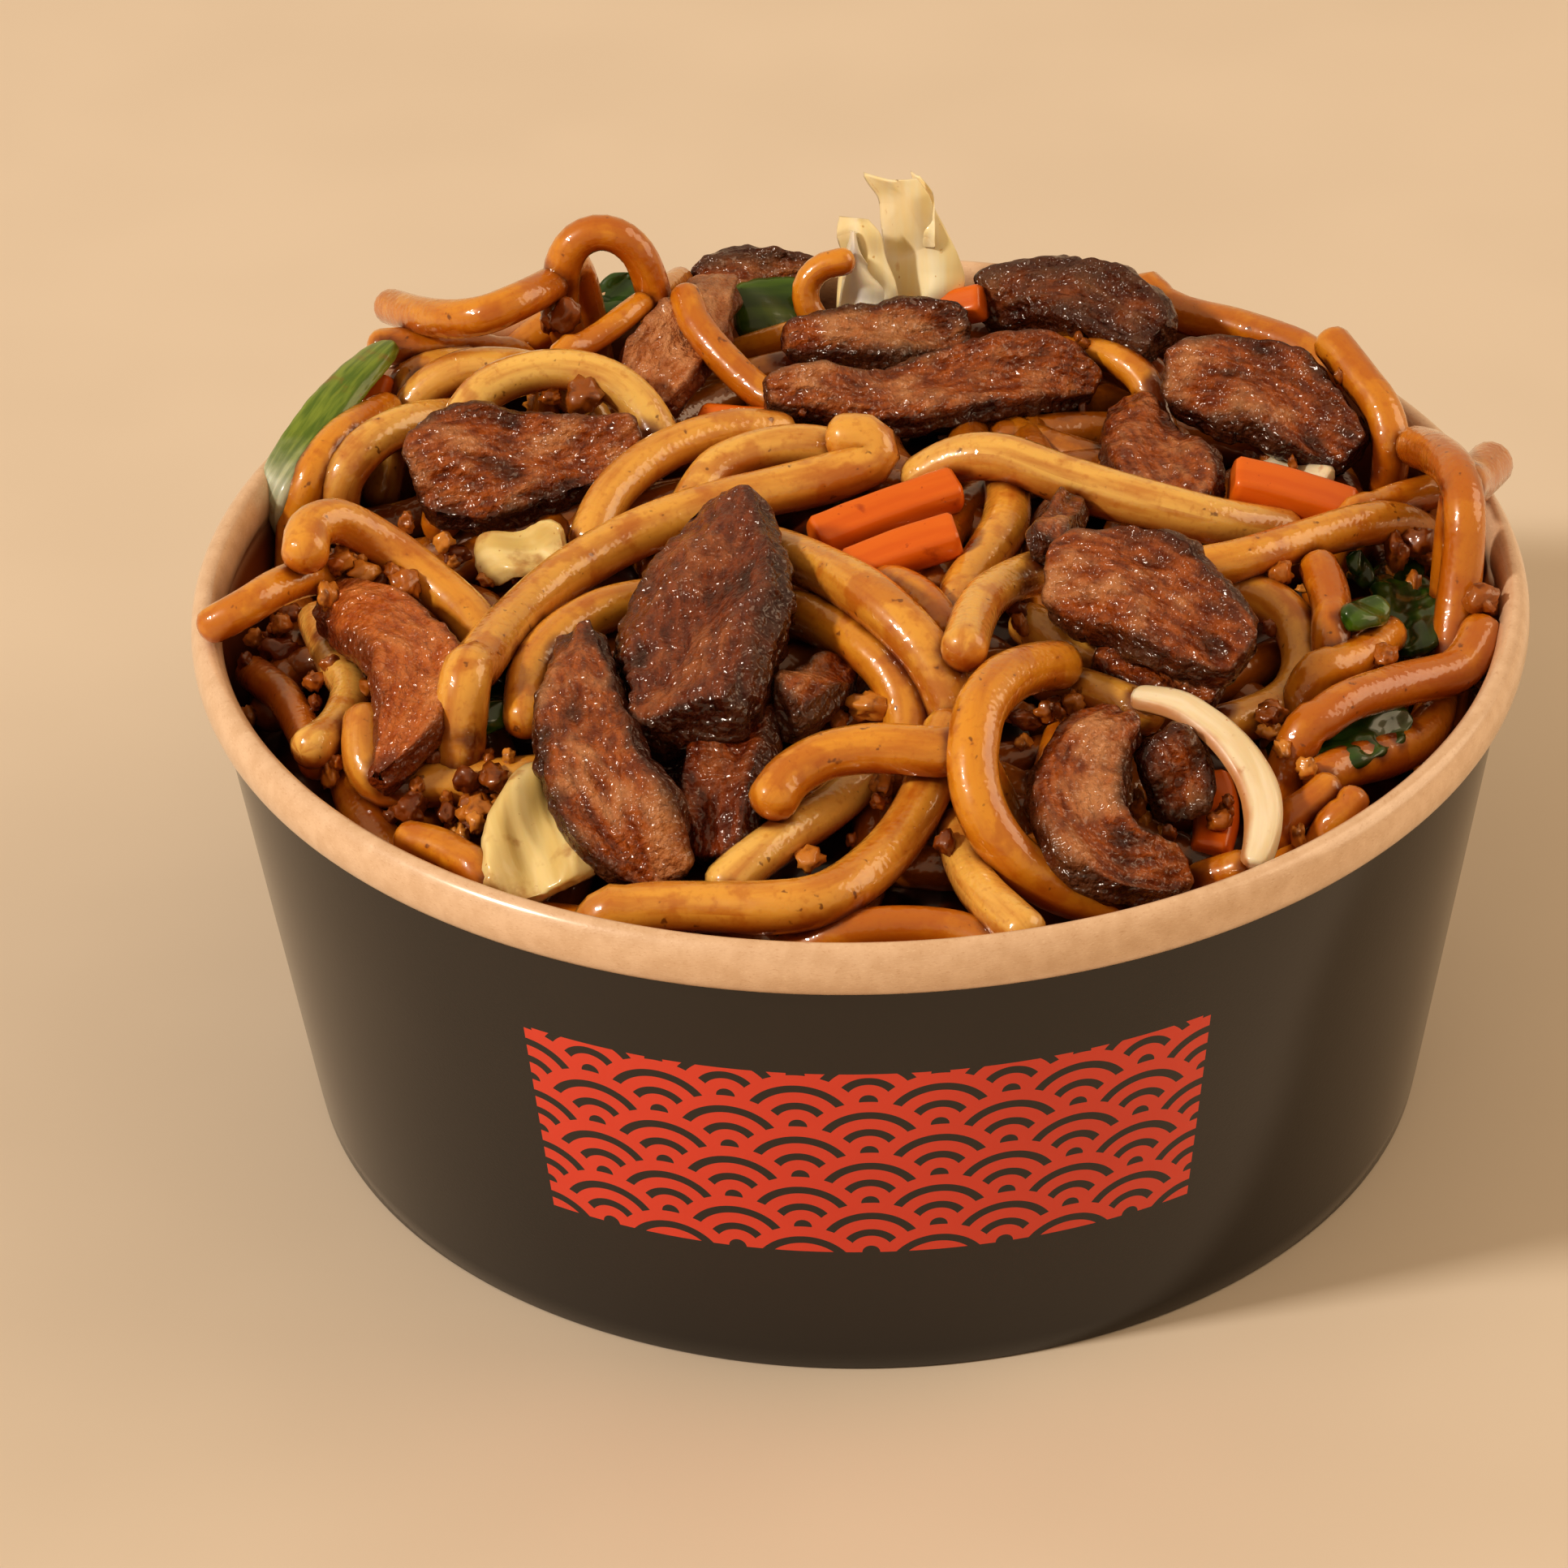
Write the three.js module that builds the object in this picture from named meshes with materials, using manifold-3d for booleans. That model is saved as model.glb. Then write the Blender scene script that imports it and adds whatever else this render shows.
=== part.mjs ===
// A round paper takeaway bowl, heaped with sauced udon noodles, beef slices and vegetables.
// Millimetres, +Z up, the origin under the middle of the foot, -Y towards the viewer.
import * as THREE from "three";
import { mergeVertices } from "three/addons/utils/BufferGeometryUtils.js";
import Module from "manifold-3d";

const wasm = await Module();
wasm.setup();

// The bowl: a tapered paper wall with a rolled rim, and a recessed base.
const RIM_RADIUS = 82.5; // outside of the roll
const BOWL_HEIGHT = 69;
const FOOT_RADIUS = 70.5; // outside of the wall where it stands
const PAPER = 0.8;
const ROLL_WIDTH = 3.8;
const ROLL_HEIGHT = 6.8;
const BASE_HEIGHT = 8; // underside of the base above the table
const HEM_DEPTH = 2.4; // the wall's lower edge, folded in under the base's flange
const ROUND_SIDES = 56;

const GAP = 0.3; // between neighbouring pieces
const CORE_SHOULDER = 54; // height of the solid heap at the wall
const CORE_RISE = 15; // how much higher it is in the middle
const CORE_SLOPE = 0.06; // the heap climbs a little away from the viewer

const ROLL_RADIUS = RIM_RADIUS - ROLL_WIDTH / 2;
const ROLL_CENTRE = BOWL_HEIGHT - ROLL_HEIGHT / 2;
const WALL_SLOPE = (ROLL_RADIUS - FOOT_RADIUS) / ROLL_CENTRE;
const wallOutside = (z) => FOOT_RADIUS + WALL_SLOPE * z;
const wallInside = (z) => wallOutside(z) - PAPER;

// Where the food lies was read off one picture, 1932 pixels square, so each piece is placed on
// the line of sight of its pixels. These are the picture's own numbers: its middle and focal
// length in pixels, and the place and turns of the eye that it was seen from.
const PICTURE_MIDDLE = 966;
const FOCAL_LENGTH = 8284;
const EYE_DISTANCE = 850;
const LOOK_HEIGHT = 30;
const EYE_ELEVATION = THREE.MathUtils.degToRad(33.63);
const EYE_YAW = THREE.MathUtils.degToRad(-0.67);
const EYE_PITCH = THREE.MathUtils.degToRad(0.46);
const EYE_ROLL = THREE.MathUtils.degToRad(-1.5);

const NOODLE_SIDES = 6;
const NOODLE_STEP = 13; // longest straight stretch of a noodle
const NOODLE_TURN = 0.7; // most that it turns between two stretches, in radians
const DIVE_REACH = 5; // how far a noodle runs on, down into the heap, past what shows of it
const SAMPLE = 3; // spacing of the places where a piece is tested against what it lies on
const PIXELS_PER_MM = 9.75;
const SQUEEZE = 0.95; // soft pieces press into each other a little

// The food, from the bottom of the heap to its top. A noodle has its radius and the pixels of its
// middle line. A third number, where there is one, is how far above the core that place must be.
// free names the end that lies in sight: the other one, or else the lower one, runs on down into
// the heap.
// Every other piece has the pixels of its middle line, each with the width there, and:
// thick, its thickness; lean, the tilt of its face towards the viewer, in degrees; side, its tilt
// to the right; depth, the distance behind the middle of a piece that stands upright.
const FOOD = [
  { noodle: 2.4, line: [[1405, 360], [1460, 388], [1530, 405], [1600, 428], [1650, 462]] },
  {
    name: "beef_back_left", kind: "beef", thick: 5, lean: 45,
    line: [[856, 356, 5], [920, 345, 9], [1000, 352, 6]],
  },
  {
    name: "pepper_back", kind: "pepper", thick: 3, lean: 45,
    line: [[905, 385, 7], [950, 383, 9], [1000, 385, 8]],
  },
  { noodle: 2.2, line: [[900, 440], [950, 424], [1010, 408]] },
  { noodle: 2.2, line: [[920, 465], [975, 452], [1030, 450]] },
  {
    name: "leaf_in_loop", kind: "leaf", thick: 1, lean: 40,
    line: [[725, 395, 6], [755, 370, 7], [790, 345, 5]],
  },
  { noodle: 2.4, line: [[610, 450], [650, 420], [700, 385]] },
  { noodle: 2.4, line: [[470, 428], [515, 426], [570, 430], [640, 445]] },
  { noodle: 2.5, line: [[478, 520], [495, 480], [530, 458], [580, 452]] },
  { noodle: 2.5, line: [[500, 530], [515, 490], [560, 460], [610, 452], [670, 462], [720, 500]] },
  { name: "carrot_left", kind: "carrot", thick: 3, lean: 30, line: [[470, 462, 3], [456, 505, 3.5]] },
  {
    name: "leek_left", kind: "leek", thick: 2.4, lean: 35, side: -25,
    line: [
      [480, 425, 4.5], [430, 475, 5.5], [385, 530, 5.5], [345, 585, 5], [333, 630, 5],
      [358, 668, 2.5],
    ],
  },
  { noodle: 2.4, line: [[365, 640], [385, 585], [425, 535], [475, 505]] },
  { noodle: 2.6, line: [[418, 650], [420, 595], [455, 548], [505, 522], [570, 515]] },
  {
    noodle: 2.4, free: "start",
    line: [[482, 378, 16], [530, 391, 17], [590, 390, 18], [650, 366, 18], [710, 335, 16]],
  },
  {
    noodle: 2.3, depth: 57,
    line: [
      [735, 480], [708, 430], [693, 390], [691, 350], [700, 310], [725, 289], [757, 289],
      [786, 312], [802, 350], [812, 400], [815, 450],
    ],
  },
  {
    name: "beef_pink_back", kind: "beef", thick: 6, lean: 35,
    line: [[880, 362, 6], [845, 415, 9], [812, 465, 10], [800, 512, 6]],
  },
  { noodle: 1.7, free: "end", line: [[690, 442], [740, 412], [790, 375], [838, 345]] },
  { noodle: 2.1, free: "start", line: [[845, 366], [858, 400], [890, 440], [935, 482], [990, 515]] },
  {
    name: "cabbage_standing", kind: "cabbage", thick: 1.6, lean: 75, depth: 66,
    line: [[1105, 375, 11], [1120, 330, 12.5], [1122, 280, 9], [1115, 215, 7.5]],
  },
  {
    name: "cabbage_lobe", kind: "cabbage", thick: 1.8, lean: 75, depth: 62,
    line: [[1060, 385, 6], [1062, 340, 6], [1058, 300, 6.5], [1050, 270, 4]],
  },
  { noodle: 1.8, line: [[1040, 322], [1003, 335], [992, 368], [1010, 402]] },
  {
    name: "beef_back_right", kind: "beef", thick: 6, lean: 45,
    line: [[1215, 372, 7], [1270, 362, 9], [1330, 365, 10], [1390, 392, 9], [1432, 425, 5]],
  },
  { name: "carrot_back", kind: "carrot", thick: 4, lean: 35, line: [[1120, 392, 4], [1212, 372, 4]] },
  { noodle: 2.1, line: [[1310, 430], [1360, 436], [1400, 458], [1418, 490]] },
  {
    name: "beef_slab", kind: "beef", thick: 5, lean: 38,
    line: [[968, 425, 4], [1040, 418, 7.5], [1110, 412, 9], [1190, 412, 7]],
  },
  {
    name: "carrot_sliver", kind: "carrot", thick: 2.5, lean: 25,
    line: [[865, 515, 3.5], [950, 522, 3.5]],
  },
  {
    name: "beef_long", kind: "beef", thick: 6, lean: 35,
    line: [
      [945, 492, 4], [1010, 487, 6.5], [1080, 500, 8.5], [1150, 487, 9.5], [1220, 468, 10],
      [1290, 460, 9], [1345, 478, 4],
    ],
  },
  {
    name: "beef_right_back", kind: "beef", thick: 6, lean: 35,
    line: [[1440, 470, 7], [1500, 472, 12], [1560, 485, 12.5], [1615, 525, 11], [1668, 568, 6]],
  },
  { name: "onion_bit", kind: "onion", thick: 2, lean: 30, line: [[1555, 575, 4], [1640, 590, 4]] },
  {
    name: "beef_right_corner", kind: "beef", thick: 6, lean: 30,
    line: [[1388, 512, 6], [1408, 550, 10.5], [1438, 592, 12], [1470, 640, 9]],
  },
  {
    noodle: 2.4, free: "start",
    line: [[1642, 424, 16], [1672, 462, 14], [1705, 508, 12], [1714, 560], [1706, 620]],
  },
  {
    noodle: 2.7,
    line: [[565, 530], [592, 487], [640, 462], [700, 456], [755, 472], [795, 508], [815, 550]],
  },
  {
    name: "beef_left", kind: "beef", thick: 7, lean: 35,
    line: [[512, 595, 10], [580, 575, 15.5], [650, 575, 13], [720, 565, 9], [785, 537, 4]],
  },
  { noodle: 2.7, line: [[728, 668], [745, 622], [785, 578], [840, 547], [905, 530], [960, 535]] },
  { noodle: 2.7, line: [[850, 625], [880, 580], [935, 556], [990, 550], [1050, 560]] },
  {
    name: "carrot_right", kind: "carrot", thick: 5, lean: 20,
    line: [[1518, 592, 5], [1580, 606, 5], [1665, 632, 5]],
  },
  { noodle: 2.8, line: [[1240, 590], [1240, 640], [1218, 682], [1185, 730], [1180, 780]] },
  {
    noodle: 3,
    line: [
      [1135, 590], [1180, 566], [1235, 564], [1300, 587], [1370, 610], [1440, 628], [1510, 645],
      [1580, 655],
    ],
  },
  {
    name: "carrot_centre_a", kind: "carrot", thick: 4.6, lean: 20,
    line: [[1005, 665, 4.6], [1085, 634, 4.6], [1178, 602, 4.6]],
  },
  {
    name: "carrot_centre_b", kind: "carrot", thick: 4.6, lean: 20,
    line: [[1045, 705, 4.6], [1110, 680, 4.6], [1180, 658, 4.6]],
  },
  { noodle: 2.2, line: [[1095, 718], [1135, 735], [1165, 775]] },
  {
    noodle: 2.3, free: "start",
    line: [[262, 770, 22], [300, 750, 19], [350, 720, 14], [400, 707, 10], [445, 706], [495, 722]],
  },
  { noodle: 2.2, line: [[298, 830], [340, 848], [368, 890], [390, 940]] },
  { noodle: 2.5, line: [[392, 765], [412, 815], [432, 850], [418, 895], [382, 922]] },
  { noodle: 2.3, line: [[505, 1035], [550, 1048], [592, 1080]] },
  { noodle: 2.9, line: [[452, 890], [452, 940], [480, 968], [540, 965], [610, 965], [680, 960]] },
  {
    name: "beef_crescent", kind: "beef", thick: 6, lean: 20,
    line: [
      [405, 757, 5], [458, 768, 9], [505, 808, 11], [515, 860, 10], [497, 918, 7], [467, 965, 3.5],
    ],
  },
  {
    noodle: 2.8, free: "start",
    line: [[376, 682], [380, 655], [415, 642], [470, 670], [530, 716], [580, 762], [615, 815]],
  },
  {
    name: "cabbage_left", kind: "cabbage", thick: 2.5, lean: 30,
    line: [[590, 690, 6], [630, 685, 7.5], [700, 670, 6]],
  },
  {
    name: "leaf_left", kind: "leaf", thick: 1.2, lean: 25,
    line: [[565, 905, 5], [600, 868, 8], [645, 840, 6]],
  },
  { noodle: 2.8, line: [[648, 885], [655, 830], [690, 785], [745, 752], [800, 740]] },
  {
    noodle: 3, free: "end",
    line: [
      [572, 845], [600, 802], [642, 755], [700, 707], [765, 668], [835, 638], [900, 617],
      [960, 604], [1025, 588], [1075, 566], [1078, 545], [1040, 540],
    ],
  },
  {
    name: "cabbage_front", kind: "cabbage", thick: 3, lean: 35,
    line: [[655, 958, 4], [650, 1000, 9], [668, 1050, 14], [685, 1100, 13]],
  },
  {
    name: "beef_fold_under", kind: "beef", thick: 6, lean: 30,
    line: [[775, 815, 6], [805, 890, 8], [830, 970, 8], [850, 1045, 6]],
  },
  {
    name: "beef_fold", kind: "beef", thick: 7, lean: 30,
    line: [[712, 805, 6], [718, 870, 9], [732, 940, 12], [770, 1010, 12], [820, 1070, 7]],
  },
  {
    name: "beef_front", kind: "beef", thick: 6, lean: 25,
    line: [[905, 890, 11], [898, 945, 10], [890, 1000, 9], [888, 1052, 6]],
  },
  {
    name: "beef_bit", kind: "beef", thick: 6, lean: 20,
    line: [[965, 880, 5], [1000, 858, 7], [1040, 842, 4]],
  },
  { noodle: 2.9, line: [[965, 755], [1000, 762], [1045, 785], [1090, 822], [1115, 868], [1120, 920]] },
  {
    noodle: 3.1,
    line: [[935, 675], [985, 690], [1050, 722], [1105, 765], [1148, 815], [1172, 870], [1180, 920]],
  },
  {
    name: "beef_centre", kind: "beef", thick: 7, lean: 25,
    line: [[908, 640, 8], [888, 700, 15], [868, 765, 20], [862, 830, 16], [850, 885, 10]],
  },
  { noodle: 2.7, line: [[1188, 800], [1208, 745], [1250, 715], [1320, 695]] },
  { noodle: 2.6, free: "start", line: [[1266, 768], [1310, 795], [1370, 815]] },
  { noodle: 2.2, line: [[1665, 640], [1720, 618], [1785, 600]] },
  {
    noodle: 2.7,
    line: [[1455, 735], [1530, 730], [1582, 755], [1605, 800], [1598, 845], [1565, 875], [1510, 895]],
  },
  { noodle: 2.6, line: [[1430, 708], [1520, 692], [1600, 668], [1690, 645], [1740, 652], [1790, 690]] },
  {
    name: "beef_tip", kind: "beef", thick: 4, lean: 30,
    line: [[1288, 680, 4], [1302, 650, 5], [1318, 625, 4]],
  },
  {
    name: "beef_right_low", kind: "beef", thick: 5, lean: 25,
    line: [[1350, 812, 5], [1430, 828, 8], [1505, 855, 6]],
  },
  {
    name: "beef_right", kind: "beef", thick: 7, lean: 30,
    line: [[1300, 718, 8], [1352, 718, 14], [1412, 735, 15], [1472, 772, 12], [1535, 815, 7]],
  },
  { noodle: 2.8, free: "end", line: [[1800, 620, 18], [1818, 590, 22], [1836, 572, 24]] },
  { noodle: 2.6, line: [[1745, 550], [1785, 570], [1803, 612], [1804, 670], [1796, 745], [1790, 790]] },
  { noodle: 2.4, line: [[1625, 700], [1640, 740], [1640, 785]] },
  {
    name: "leaf_right", kind: "leaf", thick: 1.2, lean: 35,
    line: [[1710, 690, 6], [1732, 740, 8.5], [1748, 805, 6]],
  },
  { noodle: 2.5, free: "end", line: [[1620, 832], [1670, 812], [1710, 782]] },
  {
    name: "leaf_right_low", kind: "leaf", thick: 1.2, lean: 25,
    line: [[1570, 915, 6], [1640, 922, 8], [1735, 885, 4]],
  },
  { noodle: 2.2, free: "end", line: [[1590, 1010], [1615, 990], [1636, 972]] },
  { noodle: 2, free: "end", line: [[1640, 1015], [1660, 1000], [1668, 985]] },
  { noodle: 2.6, free: "end", line: [[1605, 905], [1660, 865], [1740, 840], [1795, 826], [1830, 780]] },
  {
    name: "carrot_front", kind: "carrot", thick: 4, lean: 20,
    line: [[1492, 962, 4], [1500, 1005, 4.5], [1490, 1055, 4]],
  },
  { noodle: 2.2, line: [[1480, 1085], [1530, 1070]] },
  { noodle: 2.6, line: [[1290, 840], [1345, 852], [1415, 880]] },
  { noodle: 1.6, free: "end", line: [[1285, 965], [1298, 920], [1310, 888]] },
  {
    name: "onion_ring", kind: "onion", thick: 2.4, lean: 15,
    line: [
      [1398, 860, 3.5], [1455, 872, 5], [1512, 912, 5.5], [1548, 965, 5.5], [1556, 1020, 5],
      [1545, 1068, 4],
    ],
  },
  { noodle: 2.5, line: [[975, 1175], [1040, 1150], [1110, 1142], [1180, 1148], [1240, 1172]] },
  { noodle: 2.6, line: [[1180, 1020], [1190, 1065], [1216, 1106], [1262, 1148]] },
  { noodle: 2.7, line: [[895, 1090], [925, 1062], [970, 1030], [1020, 998], [1070, 955]] },
  {
    noodle: 3,
    line: [
      [745, 1128], [800, 1118], [870, 1117], [950, 1118], [1020, 1106], [1082, 1062], [1128, 1002],
      [1155, 940], [1170, 900],
    ],
  },
  {
    noodle: 2.9, free: "start",
    line: [[952, 985], [972, 958], [1015, 932], [1075, 922], [1130, 925], [1190, 930]],
  },
  {
    noodle: 3,
    line: [
      [1305, 820], [1255, 828], [1215, 862], [1200, 910], [1200, 960], [1215, 1010], [1250, 1058],
      [1300, 1092], [1370, 1112],
    ],
  },
  {
    name: "beef_curl", kind: "beef", thick: 6, lean: 20,
    line: [
      [1385, 895, 6], [1340, 930, 9], [1325, 985, 10], [1348, 1040, 10], [1398, 1075, 8],
      [1445, 1088, 5],
    ],
  },
];

// Noodles that lie along the wall, where the picture doesn't show the food: arcs about the middle,
// each with the angle where it starts, the angle that it covers, its distance and its radius.
const EDGE_NOODLES = [
  { start: 196, turn: 52, out: 71, radius: 2.8 },
  { start: 268, turn: 60, out: 72.5, radius: 2.7 },
  { start: 325, turn: 40, out: 72, radius: 2.6 },
  { start: 15, turn: 38, out: 70, radius: 2.7 },
  { start: 50, turn: 42, out: 67, radius: 2.8 },
  { start: 128, turn: 30, out: 62, radius: 2.7 },
];
const EDGE_WAVER = 3; // how far they wander in and out

const COLOURS = {
  kraft: 0xdcae7e,
  print: 0x2b201a,
  noodle: 0xc98227,
  beef: 0x5c2e1a,
  carrot: 0xe0600f,
  cabbage: 0xe8d69a,
  onion: 0xead9b0,
  pepper: 0x4f6b1c,
  leek: 0x7d8c45,
  leaf: 0x263f14,
};

function paint(colour, roughness) {
  return new THREE.MeshStandardMaterial({ color: COLOURS[colour], roughness, metalness: 0 });
}

// The eye and its axes.
function makeEye() {
  const at = new THREE.Vector3(
    0,
    -EYE_DISTANCE * Math.cos(EYE_ELEVATION),
    LOOK_HEIGHT + EYE_DISTANCE * Math.sin(EYE_ELEVATION),
  );
  const level = new THREE.Vector3(1, 0, 0);
  const ahead = new THREE.Vector3(0, Math.cos(EYE_ELEVATION), -Math.sin(EYE_ELEVATION));
  const above = level.clone().cross(ahead);
  ahead.addScaledVector(level, Math.tan(EYE_YAW));
  ahead.addScaledVector(above, Math.tan(EYE_PITCH));
  ahead.normalize();
  const right = ahead.clone().cross(new THREE.Vector3(0, 0, 1)).normalize();
  const up = right.clone().cross(ahead);
  const turnedRight = right.clone().multiplyScalar(Math.cos(EYE_ROLL));
  turnedRight.addScaledVector(up, Math.sin(EYE_ROLL));
  const turnedUp = up.clone().multiplyScalar(Math.cos(EYE_ROLL));
  turnedUp.addScaledVector(right, -Math.sin(EYE_ROLL));
  return { at, ahead, right: turnedRight, up: turnedUp };
}

const eye = makeEye();

// The direction in which the eye sees a pixel.
function sight(u, v) {
  return eye.ahead
    .clone()
    .addScaledVector(eye.right, (u - PICTURE_MIDDLE) / FOCAL_LENGTH)
    .addScaledVector(eye.up, (PICTURE_MIDDLE - v) / FOCAL_LENGTH)
    .normalize();
}

// The height of the core's surface, without the pieces on it.
function coreHeight(x, y) {
  const share = Math.min(1, Math.hypot(x, y) / wallInside(CORE_SHOULDER));
  return CORE_SHOULDER + CORE_RISE * (1 - share * share) + CORE_SLOPE * y;
}

// How far along a line a ball gets before it meets the core, the wall or the rim.
// Over the near side of the rim it passes freely, because that side is in front of the food.
function reachBed(from, along, reach, lift) {
  const at = (t) => from.clone().addScaledVector(along, t);
  const over = (t) => at(t).z - coreHeight(at(t).x, at(t).y) - reach * 0.8 - lift;
  const flat = along.x * along.x + along.y * along.y;
  const rimStop = (BOWL_HEIGHT + reach - from.z) / along.z;
  let enter = 0;
  let leave = (CORE_SHOULDER - from.z) / along.z;
  if (flat > 1e-9) {
    const inside = wallInside(BOWL_HEIGHT) - reach - GAP;
    const half = from.x * along.x + from.y * along.y;
    const rest = half * half - flat * (from.x * from.x + from.y * from.y - inside * inside);
    if (rest <= 0) return rimStop;
    enter = (-half - Math.sqrt(rest)) / flat;
    leave = (-half + Math.sqrt(rest)) / flat;
  }
  if (over(leave) > 0) return at(leave).z > BOWL_HEIGHT + reach ? rimStop : leave;
  if (over(enter) < 0) return enter;
  for (let i = 0; i < 40; i++) {
    const middle = (enter + leave) / 2;
    if (over(middle) > 0) enter = middle;
    else leave = middle;
  }
  return enter;
}

// Balls that stand for the pieces laid so far.
const laid = [];

// How far along a line a ball gets before it meets what lies there already.
function drop(from, along, reach, lift) {
  let nearest = reachBed(from, along, reach, lift);
  for (const ball of laid) {
    const near = SQUEEZE * (reach + ball.reach);
    const away = ball.at.clone().sub(from);
    const middle = away.dot(along);
    const side = away.lengthSq() - middle * middle;
    if (side < near * near) nearest = Math.min(nearest, middle - Math.sqrt(near * near - side));
  }
  return nearest;
}

// Points along a line of picks, each carrying on its third number, spaced evenly in the picture.
function follow(picks) {
  const knots = picks.map(([u, v, third = 0]) => new THREE.Vector3(u, v, third));
  const curve = new THREE.CatmullRomCurve3(knots, false, "catmullrom", 0.5);
  const flat = new THREE.CatmullRomCurve3(
    knots.map((k) => new THREE.Vector3(k.x, k.y, 0)),
    false,
    "catmullrom",
    0.5,
  );
  const count = Math.max(2, Math.round(flat.getLength() / (SAMPLE * PIXELS_PER_MM)));
  return Array.from({ length: count + 1 }, (_, i) =>
    curve.getPoint(flat.getUtoTmapping(i / count)),
  );
}

// A piece is stiff: it spans the hollows between the places that hold it up, in a smooth line.
function stretch(reaches, rounds) {
  for (let round = 0; round < rounds; round++)
    for (let i = 1; i < reaches.length - 1; i++)
      reaches[i] = Math.min(reaches[i], (reaches[i - 1] + reaches[i + 1]) / 2);
  for (let round = 0; round < 3; round++)
    for (let i = 1; i < reaches.length - 1; i++)
      reaches[i] = (reaches[i - 1] + 2 * reaches[i] + reaches[i + 1]) / 4;
  return reaches;
}

const NOODLE_STIFFNESS = 6;
const SLICE_STIFFNESS = 40;

// Runs a noodle's middle line on past its last point, down into the heap.
function dive(points, radius) {
  const last = points[points.length - 1];
  const height = last.z - coreHeight(last.x, last.y);
  if (height < radius) return points;
  const ahead = last.clone().sub(points[points.length - 2]).setZ(0).normalize();
  const end = last.clone().addScaledVector(ahead, DIVE_REACH);
  end.z -= height + 1;
  return [...points, end];
}

// Lays a noodle and returns the points of its middle line.
function layNoodle({ noodle: radius, line, depth, free = "" }) {
  const picks = follow(line);
  const lines = picks.map((p) => sight(p.x, p.y));
  const reaches = picks.map((p, i) =>
    depth === undefined
      ? drop(eye.at, lines[i], radius, p.z)
      : (depth - eye.at.y) / lines[i].y,
  );
  stretch(reaches, NOODLE_STIFFNESS);
  const points = reaches.map((t, i) => eye.at.clone().addScaledVector(lines[i], t));
  for (const at of points) laid.push({ at, reach: radius });
  const heights = points.map((p) => p.z - coreHeight(p.x, p.y));
  const startIsLow = free === "end" || (free !== "start" && heights[0] < heights[heights.length - 1]);
  return dive(startIsLow ? points.reverse() : points, radius);
}

// Lays a noodle along the wall and returns the points of its middle line.
function layEdgeNoodle({ start, turn, out, radius }) {
  const down = new THREE.Vector3(0, 0, -1);
  const count = Math.round((THREE.MathUtils.degToRad(turn) * out) / SAMPLE);
  const places = Array.from({ length: count + 1 }, (_, i) => {
    const angle = THREE.MathUtils.degToRad(start + (turn * i) / count);
    const away = out - EDGE_WAVER * (1 - Math.cos((i / count - 0.5) * 5));
    return new THREE.Vector3(away * Math.cos(angle), away * Math.sin(angle), 2 * BOWL_HEIGHT);
  });
  const reaches = stretch(
    places.map((from) => drop(from, down, radius, 0)),
    NOODLE_STIFFNESS,
  );
  const points = places.map((from, i) => from.clone().addScaledVector(down, reaches[i]));
  for (const at of points) laid.push({ at, reach: radius });
  return points;
}

// The direction of a slice's face: up, leaning towards the viewer and to the side.
function faceOf({ lean = 0, side = 0 }) {
  const forward = THREE.MathUtils.degToRad(lean);
  const right = THREE.MathUtils.degToRad(side);
  return new THREE.Vector3(
    Math.sin(right) * Math.cos(forward),
    -Math.sin(forward),
    Math.cos(right) * Math.cos(forward),
  );
}

// Lays a slice and returns its middle line, with the width, face and cross direction of each place.
function laySlice(piece) {
  const picks = follow(piece.line);
  const lines = picks.map((p) => sight(p.x, p.y));
  const face = faceOf(piece);
  const flat = lines.map((d) =>
    eye.at.clone().addScaledVector(d, (BOWL_HEIGHT - eye.at.z) / d.z),
  );
  const across = flat.map((_, i) =>
    flat[Math.min(i + 1, flat.length - 1)]
      .clone()
      .sub(flat[Math.max(i - 1, 0)])
      .cross(face)
      .normalize(),
  );
  const reach = piece.thick / 2;
  const spread = (i) => {
    const half = Math.max(0, picks[i].z / 2 - reach);
    const count = Math.ceil(half / reach);
    return Array.from({ length: 2 * count + 1 }, (_, k) =>
      across[i].clone().multiplyScalar(count ? (half * (k - count)) / count : 0),
    );
  };
  const reaches = picks.map((p, i) =>
    piece.depth === undefined
      ? Math.min(
          ...spread(i).map((shift) => drop(eye.at.clone().add(shift), lines[i], reach, 0)),
        )
      : (piece.depth - eye.at.y) / lines[i].y,
  );
  stretch(reaches, SLICE_STIFFNESS);
  return picks.map((p, i) => {
    const at = eye.at.clone().addScaledVector(lines[i], reaches[i]);
    for (const shift of spread(i)) laid.push({ at: at.clone().add(shift), reach });
    return { at, width: p.z, face };
  });
}

// Turns a closed geometry into a solid, with its faces outwards.
function toSolid(geometry) {
  const bare = geometry.clone();
  bare.deleteAttribute("normal");
  bare.deleteAttribute("uv");
  const merged = mergeVertices(bare, 1e-4);
  const vertProperties = merged.attributes.position.array;
  const triVerts = new Uint32Array(merged.index.array);
  const made = new wasm.Manifold(new wasm.Mesh({ numProp: 3, vertProperties, triVerts }));
  if (made.volume() > 0) return made;
  for (let i = 0; i < triVerts.length; i += 3) triVerts.subarray(i, i + 2).reverse();
  return new wasm.Manifold(new wasm.Mesh({ numProp: 3, vertProperties, triVerts }));
}

function toGeometry(solid) {
  const mesh = solid.getMesh();
  const geometry = new THREE.BufferGeometry();
  geometry.setAttribute("position", new THREE.BufferAttribute(mesh.vertProperties, 3));
  geometry.setIndex(new THREE.BufferAttribute(mesh.triVerts, 1));
  geometry.computeVertexNormals();
  return geometry;
}

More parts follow.
